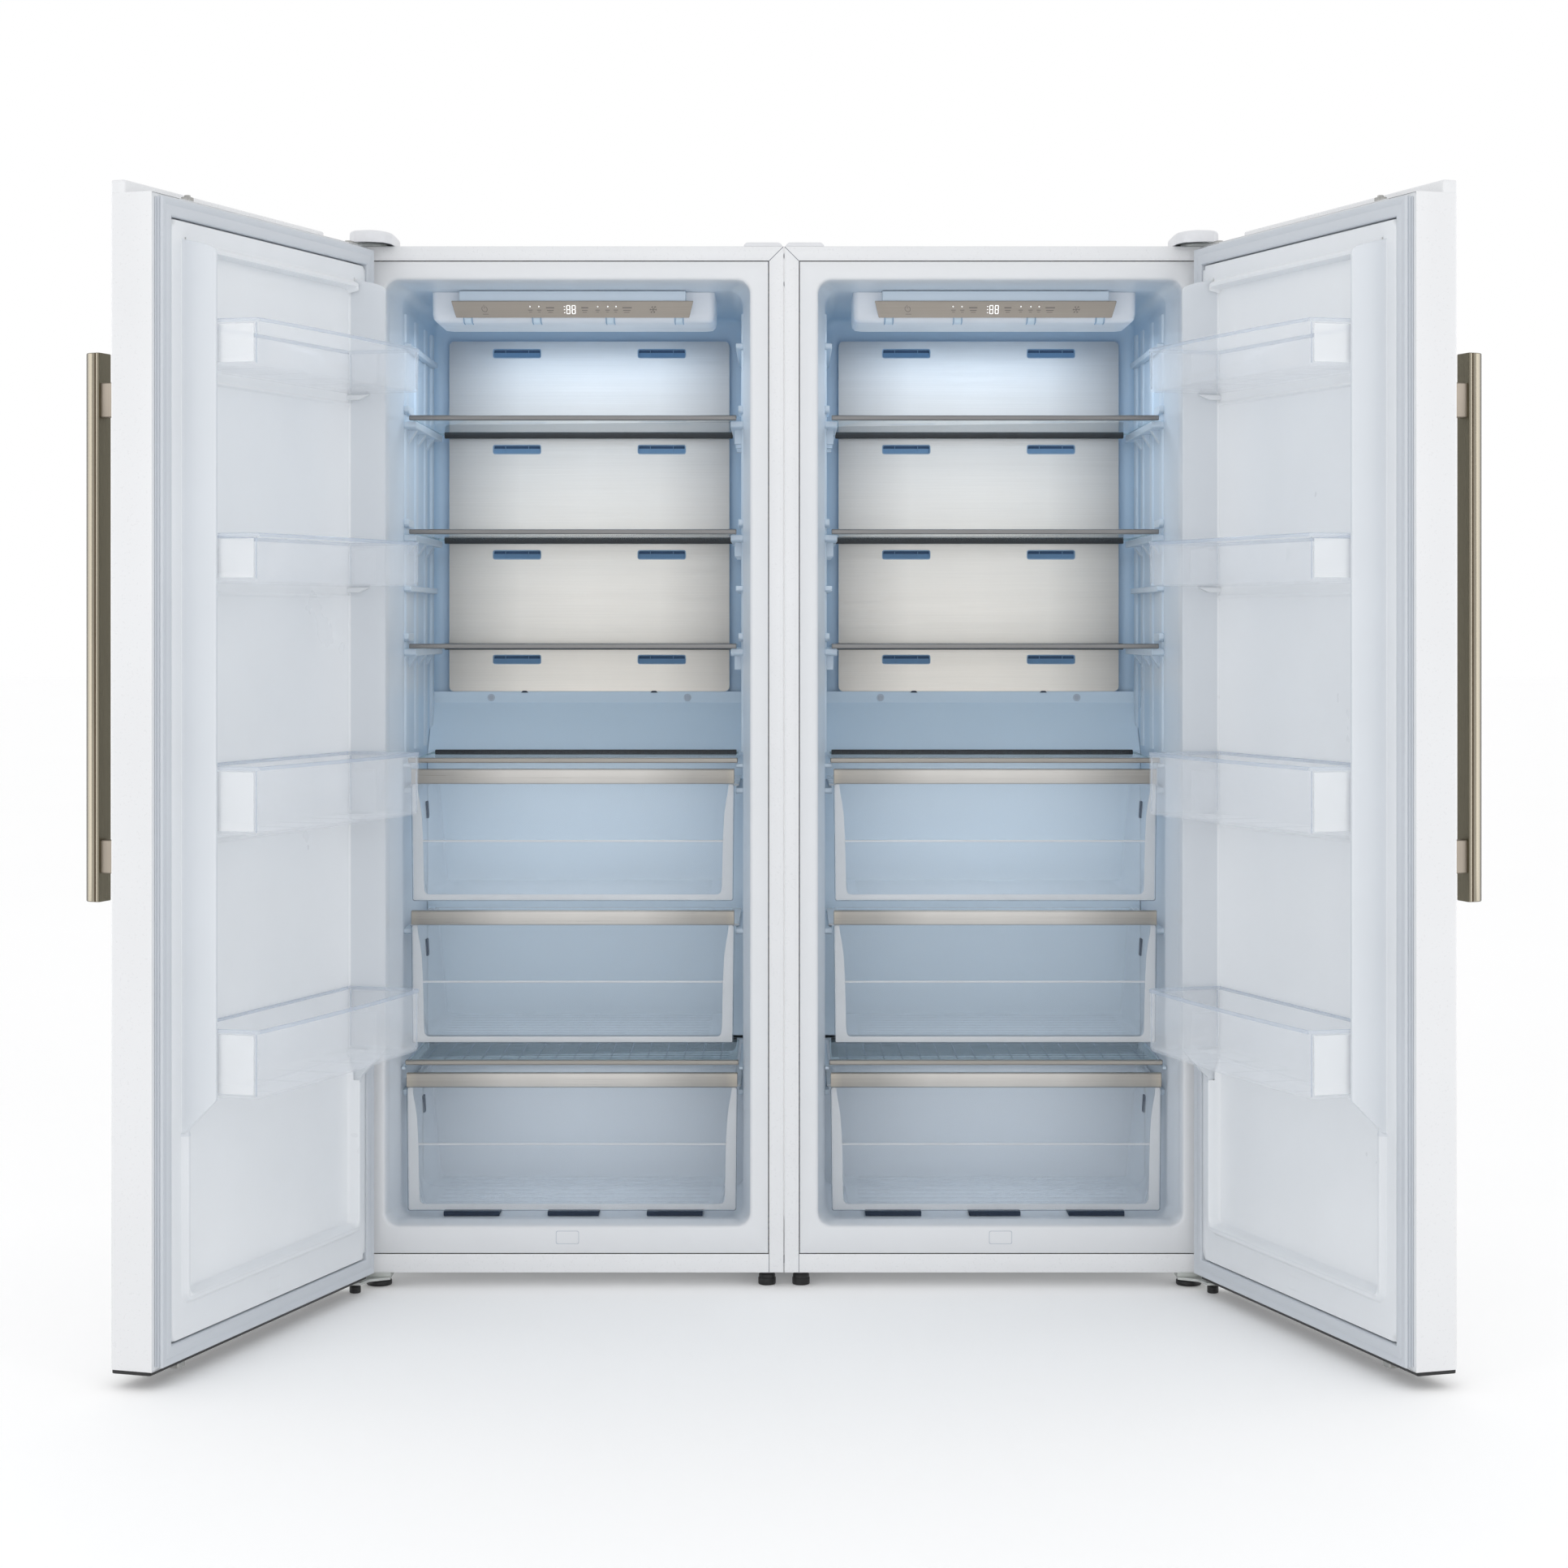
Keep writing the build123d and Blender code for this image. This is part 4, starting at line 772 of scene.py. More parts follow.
def trim_bar(x0, x1, y0, y1, z0, z1, round_front=2.2):
    """A metal edge strip whose front is rounded and whose back is flat."""
    s = Shape()
    r = min(round_front, (z1 - z0) / 2.2)
    prof = []
    for i in range(5):
        a = math.radians(180 + 90 * i / 4)
        prof.append((y0 + r + r * math.cos(a), z0 + r + r * math.sin(a)))
    prof += [(y1 - 0.4, z0), (y1, z0 + 0.4), (y1, z1 - 0.4), (y1 - 0.4, z1)]
    for i in range(5):
        a = math.radians(90 + 90 * i / 4)
        prof.append((y0 + r + r * math.cos(a), z1 - r + r * math.sin(a)))
    cy, cz = (y0 + y1) / 2, (z0 + z1) / 2
    def ins(k):
        return [(y + (cy - y) * k, z + (cz - z) * k) for y, z in prof]
    loops = [[(x, y, z) for y, z in ins(k)] for x, k in ((x0, 0.18), (x0 + 0.9, 0.0), (x1 - 0.9, 0.0), (x1, 0.18))]
    s.rings(loops, cap0=True, cap1=True)
    return s


def drawer_tub(k):
    y0, inset, z0, t0, t1, y1 = DRAWERS[k]
    draft = 17.0 if k < 2 else 21.0
    top = t0 - 2.0
    hw = W / 2 - inset - 4.0
    s = Shape()
    zb = z0 + 4.0
    low = t0 - 95.0
    def loop(z, o, r, extra=0.0):
        t = (z - zb) / (top - zb)
        w = hw - draft * (1 - t) - o + extra
        yb = y1 - 10 * (1 - t) - o + extra * 0.25
        ya = y0 + 9.4 + o
        base = rrect(XC - w, XC + w, ya, yb, r, 6)
        # extra points along both sides, where the rim steps down to the low front wall
        ys = [y0 + 26, y0 + 31, y0 + 36, y0 + 41, y0 + 48]
        pts = base[:7] + [(XC + w, y) for y in ys] + base[7:21] + [(XC - w, y) for y in reversed(ys)] + base[21:]
        out = []
        for x, y in pts:
            lim = low + (top - low) * smooth((y - (y0 + 27)) / 17.0)
            zz = z if z <= zb + 12.5 else zb + 12.5 + (z - zb - 12.5) * (lim - zb - 12.5) / (top - zb - 12.5)
            out.append((x, y, zz))
        return out
    outer = [loop(zb, 8.0, 6.0), loop(zb + 1.2, 3.2, 8.0), loop(zb + 4.0, 0.8, 9.0), loop(zb + 8.0, 0.0, 9.0), loop(top - 6, 0.0, 9.0)]
    inner = [loop(top, 2.6, 8.0), loop(zb + 12.0, 3.0, 8.0), loop(zb + 6.5, 4.0, 8.0), loop(zb + 3.6, 8.0, 6.0), loop(zb + 3.0, 14.0, 4.0)]
    rim = [loop(top - 1.0, 0.0, 9.0), loop(top, 0.8, 9.0)]
    s.rings(outer + rim + inner, cap0=True, cap1=True)
    for q in range(5 * 38, 7 * 38):
        s.mi[q] = 1
    return s


def drawer_runners(k):
    """Rim flanges that hang on the runners."""
    y0, inset, z0, t0, t1, y1 = DRAWERS[k]
    top = t0 - 2.0
    fl = 76.0 if k < 2 else 72.5
    hw = W / 2 - inset - 4.0
    s = Shape()
    for sx in (-1, 1):
        xa, xb = XC + sx * (W / 2 - fl), XC + sx * (hw - 1.5)
        s.box(min(xa, xb), max(xa, xb), y0 + 50, y1 - 3, top - 4, top - 0.4)
    return s


def drawer_front(k):
    """The clear front: a flat face inside thick tapering stiles, rounded all round."""
    y0, inset, z0, t0, t1, y1 = DRAWERS[k]
    x0, x1 = -W + inset, -inset
    ya = y0 + 1.7
    s = Shape()
    zt = t0 - 0.4
    taper = 2.0
    def loop(i, y, r=4.0):
        out = []
        for x, z in rrect(x0 + i, x1 - i, z0 + i, zt - i * 0.2, r, 5):
            f = 1.0 - taper / (x1 - x0) * 2 * (zt - z) / (zt - z0)
            out.append((XC + (x - XC) * f, y, z))
        return out
    s.rings([loop(0.9, ya + 4.0), loop(0.0, ya + 3.2), loop(0.0, ya + 0.8), loop(0.8, ya)], cap0=True, cap1=True)
    for q in range(3 * 24):
        s.mi[q] = 1
    return s


def drawer_stiles(k):
    """The thick clear surround behind the front: wide at the foot, narrower at the top, with rounded inner corners."""
    y0, inset, z0, t0, t1, y1 = DRAWERS[k]
    x0, x1 = -W + inset + 1.6, -inset - 1.6
    s = Shape()
    zt, zb = t0 - 1.0, z0 + 1.4
    h = t0 - z0
    side = [(8.0, 0.0), (9.0, 12.0), (12.5, 30.0), (15.5, 52.0), (17.5, 90.0), (19.5, h - 24.0)]
    r, bar_h = 9.0, 11.5
    arc = [(19.9 + r - r * math.cos(a), h - bar_h - r + r * math.sin(a)) for a in [math.pi / 2 * i / 7 for i in range(8)]]
    inner = [(x0 + d, zt - v) for d, v in side + arc]
    inner += [(x1 - d, zt - v) for d, v in reversed(side + arc)]
    # the outer edge, matched point for point with the inner one
    half = []
    for d, v in side:
        half.append((1.9 * v / (zt - zb), v))
    for t in range(1, len(arc) + 1):
        u = t / len(arc)
        half.append((1.9, h - 24.0 + (zt - zb - h + 24.0) * u * 2) if u <= 0.5 else (1.9 + 27.0 * (u - 0.5) * 2, zt - zb))
    outer = [(x0 + d, zt - v) for d, v in half] + [(x1 - d, zt - v) for d, v in reversed(half)]
    ya, yb = y0 + 6.1, y0 + 9.0
    n = len(inner)
    base = len(s.v)
    for y in (ya, yb):
        s.v += [(x, y, z) for x, z in inner] + [(x, y, z) for x, z in outer]
    for i in range(n - 1):
        for q in ((i, i + 1, n + i + 1, n + i), (2 * n + i, 3 * n + i, 3 * n + i + 1, 2 * n + i + 1), (i, 2 * n + i, 2 * n + i + 1, i + 1), (n + i, n + i + 1, 3 * n + i + 1, 3 * n + i)):
            s.f.append(tuple(base + w for w in q))
            s.mi.append(0)
    for i in (0, n - 1):
        s.f.append((base + i, base + n + i, base + 3 * n + i, base + 2 * n + i))
        s.mi.append(0)
    return s


def drawer_lip(k):
    """Rolled rim along the low front wall of the tub, drawn near-opaque white as a painted highlight: the bright line
    across each drawer.
    """
    y0, inset, z0, t0, t1, y1 = DRAWERS[k]
    hw = W / 2 - inset - 14.0
    s = Shape()
    zc = t0 - 97.0
    loops = []
    for x, g in ((XC - hw, 0.7), (XC - hw + 1.5, 0.0), (XC + hw - 1.5, 0.0), (XC + hw, 0.7)):
        loops.append([(x, y0 + 11.6 + (1.9 - g) * math.cos(a), zc + (1.5 - g * 0.8) * math.sin(a)) for a in [2 * math.pi * i / 14 for i in range(14)]])
    s.rings(loops, cap0=True, cap1=True)
    # short upright ends of the rim
    for sx in (-1, 1):
        xa = XC + sx * hw
        s.box(min(xa, xa + sx * 2.2), max(xa, xa + sx * 2.2), y0 + 10.2, y0 + 13.0, zc - 26, zc + 1.2)
    return s


def drawer_floor(k):
    y0, inset, z0, t0, t1, y1 = DRAWERS[k]
    s = Shape()
    n = 9 if k < 2 else 7
    for i in range(n):
        y = y0 + 42 + i * (y1 - y0 - 80) / (n - 1)
        s.prism([(y, z0 + 6.9), (y + 1.0, z0 + 8.6), (y + 3.0, z0 + 8.6), (y + 4.0, z0 + 6.9)], 0, XC - 228, XC + 228)
    return s


def drawer_slots(k):
    """Moulded grips high on the inner sides."""
    y0, inset, z0, t0, t1, y1 = DRAWERS[k]
    hw = W / 2 - inset - 4.0
    s = Shape()
    for sx in (-1, 1):
        xa = XC + sx * (hw - 9.6)
        xb = XC + sx * (hw - 6.4)
        s.prism([(min(xa, xb), t0 - 66), (max(xa, xb), t0 - 66), (max(xa, xb) + sx * 1.6, t0 - 37), (min(xa, xb) + sx * 1.6, t0 - 37)], 1, 262.0, 284.0)
    return s


def drawer_strip(k):
    y0, inset, z0, t0, t1, y1 = DRAWERS[k]
    x0, x1 = -W + inset, -inset
    prof = [(y0 + 1.4, t0), (y0 + 2.9, t0 + 0.2), (y0 + 2.9, t1 - 1.8), (y0 + 9.5, t1 - 1.8), (y0 + 9.8, t1 - 1.0), (y0 + 9.3, t1 - 0.1), (y0 + 3.0, t1),
            (y0 + 1.2, t1 - 0.5), (y0 + 0.35, t1 - 1.6), (y0, t1 - 3.2), (y0, t0 + 2.2), (y0 + 0.4, t0 + 0.8)]
    s = Shape()
    def ins(k2):
        cy, cz = y0 + 3.0, (t0 + t1) / 2
        return [(y + (cy - y) * k2 * 0.3, z + (cz - z) * k2 * 0.06) for y, z in prof]
    s.rings([[(x, y, z) for y, z in ins(q)] for x, q in ((x0, 1.0), (x0 + 0.7, 0.0), (x1 - 0.7, 0.0), (x1, 1.0))], cap0=True, cap1=True)
    return s


# ---------------------------------------------------------------- doors
def door_skin():
    """Folded sheet with rounded edges: the front face, its four returns and the hem that holds the liner."""
    s = Shape()
    def loop(i, y, r=1.0):
        return [(x, y, z) for x, z in rrect(DX0 + i, DX1 - i, DZ0 + i, DZ1 - i, r, 4)]
    s.rings([
        loop(1.4, D_IN - 2.6), loop(1.1, D_IN - 0.4), loop(0.6, D_IN), loop(0.1, D_IN - 0.5), loop(0.0, D_IN - 1.4),
        loop(0.0, D_OUT + 3.2), loop(0.25, D_OUT + 1.9), loop(0.95, D_OUT + 0.85), loop(2.0, D_OUT + 0.2), loop(3.4, D_OUT, 1.5),
    ], cap1=True)
    return s


def door_lip():
    """Raised lip along the front of the door's top, ending short of the hinge."""
    s = Shape()
    x0, x1, y0, y1, z1 = DX0 + 74, DX1 - 0.3, D_OUT + 0.2, D_OUT + 23, LIP_Z
    loops = []
    for i, z in ((0.0, DZ1 - 1.5), (0.0, z1 - 3.0), (0.35, z1 - 1.6), (1.1, z1 - 0.6), (2.4, z1 - 0.1), (3.4, z1)):
        loops.append([(x, y, z) for x, y in rrect(x0 + i * 1.0, x1 - i, y0 + i, y1 - i, 2.6, 4)])
    s.rings(loops, cap0=True, cap1=True)
    return s


def liner_height(x, z):
    x0, x1 = DX0, DX1
    d = min(x - x0, x1 - x)
    gi = 33.4
    a = inside(x, z, x0 + gi, x1 - gi, 26 + gi, 1703 - gi, 12.0)
    h = -14.6 + 12.1 * smooth(a / 3.0)
    rim = inside(x, z, x0 + 63.0, x1 - 63.0, 109.0, 1641.0, 23.0)
    h += 9.0 * smooth(rim / 6.5)
    rec = inside(x, z, x0 + 75.0, x1 - 75.0, 121.5, 1629.5, 15.0)
    low = smooth((404.0 - z) / 40.0)
    h -= 19.0 * smooth(rec / (3.0 + 4.0 * low))
    # dykes
    up = smooth((d - 61.5) / 2.4) * 0.25 + smooth((d - 62.6) / 5.2) * 0.65 + smooth((d - 66.0) / 4.5) * 0.10
    down = 1.0 - smooth((d - 73.6) / 2.2)
    top = DYKE_TOP_FN(z)
    dk = -2.5 + 54.0 * up
    dk = min(dk, top)
    if d > 70:
        dk = -12.5 + (min(51.5, top) + 12.5) * down if top > -12.5 else -12.5
    if z > 356 and z < 1644 and d > 58:
        h = smax(h, dk, 2.2) if d < 73.6 else max(h if d > 78 else -12.5, dk)
    return h


def DYKE_TOP_FN(z):
    low = 5.5 + (z - 360.0) * 1.0
    k = 5.0
    # rounded shoulder at the top end
    t = (1641.5 - z)
    hi = -3.0 + 54.5 * (1 - (1 - max(0.0, min(1.0, t / 22.0))) ** 2.6)
    a, b = min(51.5, low), hi
    hh = max(k - abs(a - b), 0.0) / k
    v = min(a, b) - hh * hh * k * 0.25
    # soften the break of the slanted end
    if 396 < z < 412:
        v = min(v, 51.5 - 1.2 * (1 - smooth((z - 396) / 16.0)))
    return v


def door_liner():
    s = Shape()
    core_x = [(1.7, 33.0, 15.6), (33.0, 37.0, 0.9), (37.0, 59.0, 7.3), (59.0, 80.0, 0.75), (80.0, 92.0, 2.4)]
    xs = sorted(set([round(DX0 + v, 3) for v in ticks(*core_x)] + [round(DX1 - v, 3) for v in ticks(*core_x)] + [round(DX0 + 92 + (DX1 - DX0 - 184) * i / 24, 3) for i in range(25)]))
    spans = [(27.7, 59.2, 15.7), (59.2, 63.4, 1.0), (63.4, 106.0, 8.5), (106.0, 140.0, 1.55), (140.0, 352.0, 17.7), (352.0, 412.0, 2.0), (412.0, 1604.0, 18.0), (1604.0, 1645.0, 1.4), (1645.0, 1665.0, 5.0), (1665.0, 1669.8, 1.0), (1669.8, 1701.3, 15.7)]
    for b0, b1 in BINS:
        spans += [(b0 - 21.0, b0 - 9.0, 1.2)]
    zs = ticks(*spans)
    n0 = len(s.f)
    def h(x, z):
        v = liner_height(x, z)
        d = min(x - DX0, DX1 - x)
        if d > 76:
            for b0, b1 in BINS:
                v = max(v, -12.5 + 2.3 * smooth((z - b0 + 18.2) / 2.2) * smooth((b0 - 11.8 - z) / 2.2))
        return v
    s.grid(xs, zs, h)
    nx = len(xs) - 1
    for q in range(n0, len(s.f)):
        i, j = (q - n0) % nx, (q - n0) // nx
        xm, zm = (xs[i] + xs[i + 1]) / 2, (zs[j] + zs[j + 1]) / 2
        d = min(xm - DX0, DX1 - xm)
        # recess faces take the lighter copy as painted light, dyke faces the darker copy as painted shade
        if d > 75.5 and 122.0 < zm < 1629.0:
            s.mi[q] = 1
        elif d > 61.8 and zm > 352.0 and zm < 1642.0 and d < 75.5:
            s.mi[q] = 2
    return s


def bin_seats():
    s = Shape()
    for b0, b1 in BINS:
        for side in (0, 1):
            xa, xb = (DX0 + 74.6, DX0 + 83.0) if side == 0 else (DX1 - 83.0, DX1 - 74.6)
            s.prism([(-13, b0 - 9), (8, b0 - 9), (26, b0 - 0.7), (-13, b0 - 0.7)], 0, xa, xb)
    return s


def gasket():
    """Magnetic seal: a flat magnet face, two bellows folds and a base, swept round the door with mitred corners."""
    s = Shape()
    x0, x1, z0, z1 = DX0 + 6, DX1 - 6, 32.0, 1697.0
    prof = [(3.2, -14.45), (0.9, -13.6), (0.3, -12.8), (0.9, -12.0), (3.0, -11.2), (3.3, -10.6), (3.0, -10.0), (0.7, -9.2), (0.1, -8.4), (0.7, -7.6), (3.0, -6.8), (3.3, -6.2), (3.0, -5.6),
            (0.7, -4.7), (0.0, -3.4), (0.1, -1.5), (1.1, -0.65), (2.6, -0.5), (9.0, -0.5), (10.2, -1.1), (11.2, -1.1), (12.4, -0.5), (24.0, -0.5), (26.2, -0.9), (27.0, -2.2), (27.0, -12.8), (25.6, -14.45)]
    loops = []
    for i, y in prof:
        loops.append([(x, y, z) for x, z in rrect(x0 + i, x1 - i, z0 + i, z1 - i, 0.6, 2)])
    s.rings(loops, close=True)
    return s


def handle_bar():
    xc = DX1 - 40.0
    y0 = D_OUT - 60.0
    hw = 17.0
    prof = []
    n = 28
    for i in range(n + 1):
        a = math.pi * i / n
        prof.append((xc + hw * math.cos(a), y0 + 20.0 - 20.0 * math.sin(a)))
    right = [(hw, 20.6), (hw - 0.3, 21.0), (hw - 1.6, 21.2), (hw - 1.6, 22.6), (hw - 0.3, 22.8), (hw - 0.1, 23.2), (hw - 0.1, 27.2), (hw - 0.9, 28.0)]
    prof += [(xc - a, y0 + b) for a, b in right] + [(xc + a, y0 + b) for a, b in reversed(right)]
    s = Shape()
    cy = y0 + 14.0
    def ins(g):
        out = []
        for x, y in prof:
            l = math.hypot(x - xc, y - cy)
            k = max(0.0, (l - g) / l)
            out.append((xc + (x - xc) * k, cy + (y - cy) * k))
        return out
    loops = []
    for z, g in ((689.0, 1.6), (689.25, 0.8), (689.8, 0.25), (690.6, 0.0), (1476.4, 0.0), (1477.2, 0.25), (1477.75, 0.8), (1478.0, 1.6)):
        loops.append([(x, y, z) for x, y in ins(g)])
    s.rings(loops, cap0=True, cap1=True)
    # the flat back takes a darker copy of the brass as painted shade, and the two grooves a near-black copy as painted
    # shadow
    for k, f in enumerate(s.f):
        fx = sum(s.v[i][0] for i in f) / len(f) - xc
        fy = sum(s.v[i][1] for i in f) / len(f) - y0
        if len(f) == 4 and fy > 27.3:
            s.mi[k] = 1
        elif len(f) == 4 and 20.7 < fy < 22.9 and abs(fx) > hw - 3.0:
            s.mi[k] = 2
    return s


def handle_posts():
    xc = DX1 - 40.0
    s = Shape()
    for z0, z1 in ((1385.0, 1435.0), (730.0, 778.0)):
        loops = []
        for y, g in ((D_OUT - 38.4, 0.0), (D_OUT - 2.5, 0.0), (D_OUT - 2.3, 0.9), (D_OUT - 1.4, 0.9), (D_OUT - 1.2, -0.9), (D_OUT - 0.4, -1.2), (D_OUT + 0.1, -1.2)):
            loops.append([(x, y, z) for x, z in rrect(xc - 11 + g, xc + 11 - g, z0 + g, z1 - g, 2.5, 4)])
        s.rings(loops, cap0=True, cap1=True)
    return s


def door_trim():
    s = Shape()
    x0, x1, y0, y1 = DX0 + 0.8, DX1 - 0.8, D_OUT + 1.5, D_IN - 2.5
    loops = []
    for z, i in ((20.5, 1.6), (20.8, 0.7), (21.6, 0.0), (26.1, 0.0)):
        loops.append([(x, y, z) for x, y in rrect(x0 + i, x1 - i, y0 + i, y1 - i, 2.4, 4)])
    s.rings(loops, cap0=True, cap1=True)
    loops = []
    for z, r in ((15.5, 10.5), (15.8, 12.0), (16.6, 13.0), (21.5, 13.0)):
        loops.append([(-62 + r * math.cos(a), -48 + r * math.sin(a), z) for a in [2 * math.pi * i / 32 for i in range(32)]])
    s.rings(loops, cap0=True, cap1=True)
    return s


def turned(s, cx, cy, prof, n=36, mat=0):
    """A body of revolution about a vertical axis: prof is (radius, z)."""
    loops = [[(cx + r * math.cos(2 * math.pi * i / n), cy + r * math.sin(2 * math.pi * i / n), z) for i in range(n)] for r, z in prof]
    s.rings(loops, cap0=True, cap1=True, mat=mat)


def bin_shape(k):
    z0, z1 = BINS[k]
    x0, x1 = DX0 + 77.5, DX1 - 77.5
    y0, y1, bow = -11.6, 113.2, 7.0
    t = 2.5
    R = 6.0
    s = Shape()
    def loop(z, o, r):
        return [(x, y, z) for x, y in bowed(x0 + o, x1 - o, y0 + o, y1 - o, max(2.5, min(r, R) - o), bow)]
    dz = z1 - z0
    def lean(z):
        # the walls lean in very slightly towards the floor
        return 2.0 * (1 - (z - z0) / dz)
    rings = [
        loop(z0, 9.0, 16), loop(z0 + 0.5, 5.0, 15), loop(z0 + 2.0, 2.8, 14), loop(z0 + 5.0, lean(z0 + 5), 14),
        loop(z1 - 7.0, lean(z1 - 7), 14), loop(z1 - 5.6, -0.0, 14), loop(z1 - 0.9, 0.0, 14), loop(z1 - 0.2, 0.5, 14), loop(z1, 1.4, 14), loop(z1 - 0.2, 2.4, 14), loop(z1 - 1.0, 2.9, 14),
        loop(z1 - 7.0, t + lean(z1 - 7), 14), loop(z0 + 8.0, t + lean(z0 + 8), 14), loop(z0 + 4.4, t + 3.2, 14), loop(z0 + 2.9, t + 6.5, 15), loop(z0 + 2.6, t + 10.0, 16),
    ]
    s.rings(rings, cap0=True, cap1=True)
    n = len(rings[0])
    for q in range(n * 5, n * 10):
        s.mi[q] = 1
    return s


def bin_clip(k):
    """A small upright spring clip that stops bottles sliding, and stiffening ribs on the floor."""
    z0, z1 = BINS[k]
    x0, x1 = DX0 + 77.5, DX1 - 77.5
    s = Shape()
    for i in range(5):
        x = x0 + 70 + i * (x1 - x0 - 140) / 4
        s.box(x - 0.7, x + 0.7, 6, 100, z0 + 2.4, z0 + 3.3)
    x = x0 + 150
    s.prism([(x - 1.2, 60), (x + 1.2, 60), (x + 1.2, 108), (x - 1.2, 108)], 2, z0 + 4.0, z0 + (z1 - z0) * 0.78)
    # corner posts of the moulding, and a near-white panel inside the free end whose colour is a painted sheen
    for xa in (x0 + 2.6, x1 - 4.2):
        s.box(xa, xa + 1.6, 107.6, 109.4, z0 + 5.0, z1 - 6.0, 1)
        s.box(xa, xa + 1.6, -7.6, -6.0, z0 + 5.0, z1 - 6.0, 1)
    s.box(x1 - 2.4, x1 - 1.4 - 0.2, -4.0, 105.0, z0 + 7.0, z1 - 8.0, 2)
    return s


def hinge_cover():
    s = Shape()
    z0, z1 = 1708.6, 1728.4
    def lid(o):
        x0, x1 = -W + 3 + o, -W + 72 - o
        raw = [(x0, -40 + o), (x0 + 8, -52 + o), (x0 + 30, -55 + o), (x1 - 12, -44 + o), (x1 - 2, -22 + o), (x1, 6), (x1, 78 - o), (x0, 78 - o)]
        # corners rounded by cutting each with a short arc
        out = []
        n = len(raw)
        for i in range(n):
            p, c, q = raw[i - 1], raw[i], raw[(i + 1) % n]
            r = 5.0
            a = Vector(p) - Vector(c)
            b = Vector(q) - Vector(c)
            ra, rb = min(r, a.length * 0.45), min(r, b.length * 0.45)
            A, B, C = Vector(c) + a.normalized() * ra, Vector(c) + b.normalized() * rb, Vector(c)
            for t in (0.0, 0.25, 0.5, 0.75, 1.0):
                w = A * (1 - t) ** 2 + C * 2 * t * (1 - t) + B * t ** 2
                out.append((w.x, w.y))
        return out
    loops = []
    for o, z in ((0.6, z0), (0.0, z0 + 0.7), (0.0, z1 - 7.0), (0.5, z1 - 4.6), (1.8, z1 - 2.2), (3.9, z1 - 0.6), (6.6, z1)):
        loops.append([(x, y, z) for x, y in lid(o)])
    inner = [[(x, y, z) for x, y in lid(o)] for o, z in ((8.0, z1 - 2.2), (3.6, z1 - 3.4), (2.3, z1 - 7.0), (2.1, z0))]
    s.rings(loops, cap1=True)
    s.rings(inner, cap0=True, flip=True)
    # the thin edge between outer and inner walls
    a, b = loops[0], inner[-1]
    s.rings([b, a])
    return s


def blank_cover():
    s = Shape()
    loops = []
    for i, z in ((0.0, 1708.1), (0.0, 1709.4), (1.1, 1711.6), (4.2, 1714.4), (5.6, 1715.0)):
        loops.append([(x, y, z) for x, y in rrect(-66 + i, -3 - i, 2 + i, 66 - i, 3.0, 4)])
    s.rings(loops, cap0=True, cap1=True)
    return s


def feet():
    s = Shape()
    turned(s, -28, 34, [(12.2, 0.0), (13.6, 0.5), (14.5, 2.0), (14.5, 11.0), (13.4, 12.2), (13.4, 17.0), (12.0, 18.6), (12.0, 20.8), (5.0, 20.9), (5.0, 25.0)])
    turned(s, -667, 30, [(18.0, 0.0), (20.0, 0.6), (21.0, 2.2), (21.0, 7.4), (19.8, 9.0), (9.0, 9.5), (5.2, 9.6), (5.2, 13.0)])
    turned(s, PX, PY - 4, [(7.6, 0.2), (8.8, 0.7), (9.2, 1.8), (9.2, 10.4), (8.4, 11.4)])
    for x in (-48, -662):
        turned(s, x, 610, [(15.5, 0.0), (17.4, 0.6), (18.0, 2.2), (18.0, 20.0), (16.5, 22.0), (16.5, 25.0)])
    return s


def stops():
    s = Shape()
    for x0, x1, y0, y1, z0, z1, r in ((-137, -119, -34, -20, DZ1, DZ1 + 7, 4.0), (-668, -650, -30, -18, DZ1, DZ1 + 4.6, 4.0), (-110, -88, -36, -20, 12.5, 20.6, 3.0)):
        loops = []
        for i, z in ((0.6, z0), (0.0, z0 + 0.6), (0.0, z1 - 0.9), (0.3, z1 - 0.3), (1.0, z1)):
            loops.append([(x, y, z) for x, y in rrect(x0 + i, x1 - i, y0 + i, y1 - i, r, 5)])
        s.rings(loops, cap0=True, cap1=True)
    turned(s, -128, -27, [(4.6, DZ1 + 6.6), (4.6, DZ1 + 9.4), (4.0, DZ1 + 10.0)], 20)
    return s


def badge_frame():
    """Rounded rectangular outline moulded on the liner flange under the opening."""
    s = Shape()
    loops = []
    for i, y in ((0.0, 0.1), (0.2, -0.25), (0.9, -0.25), (1.1, 0.1)):
        loops.append([(x, y, z) for x, z in rrect(XC - 19 + i, XC + 19 - i, 72 + i, 94 - i, 3.0, 4)])
    s.rings(loops, close=True)
    return s


def door_badge():
    s = Shape()
    loops = []
    for i, y in ((0.0, -2.6), (0.2, -2.2), (0.9, -2.2), (1.1, -2.6)):
        loops.append([(x, y, z) for x, z in rrect(XC - 19 + i, XC + 19 - i, 73 + i, 94 - i, 3.0, 4)])
    s.rings(loops, close=True)
    return s


def floor_recesses():
    s = Shape()
    for x, h in ((-171, 47), (0, 43), (171, 47)):
        s.box(XC + x - h, XC + x + h, 139, 190, 92.2, 100.0)
    return s


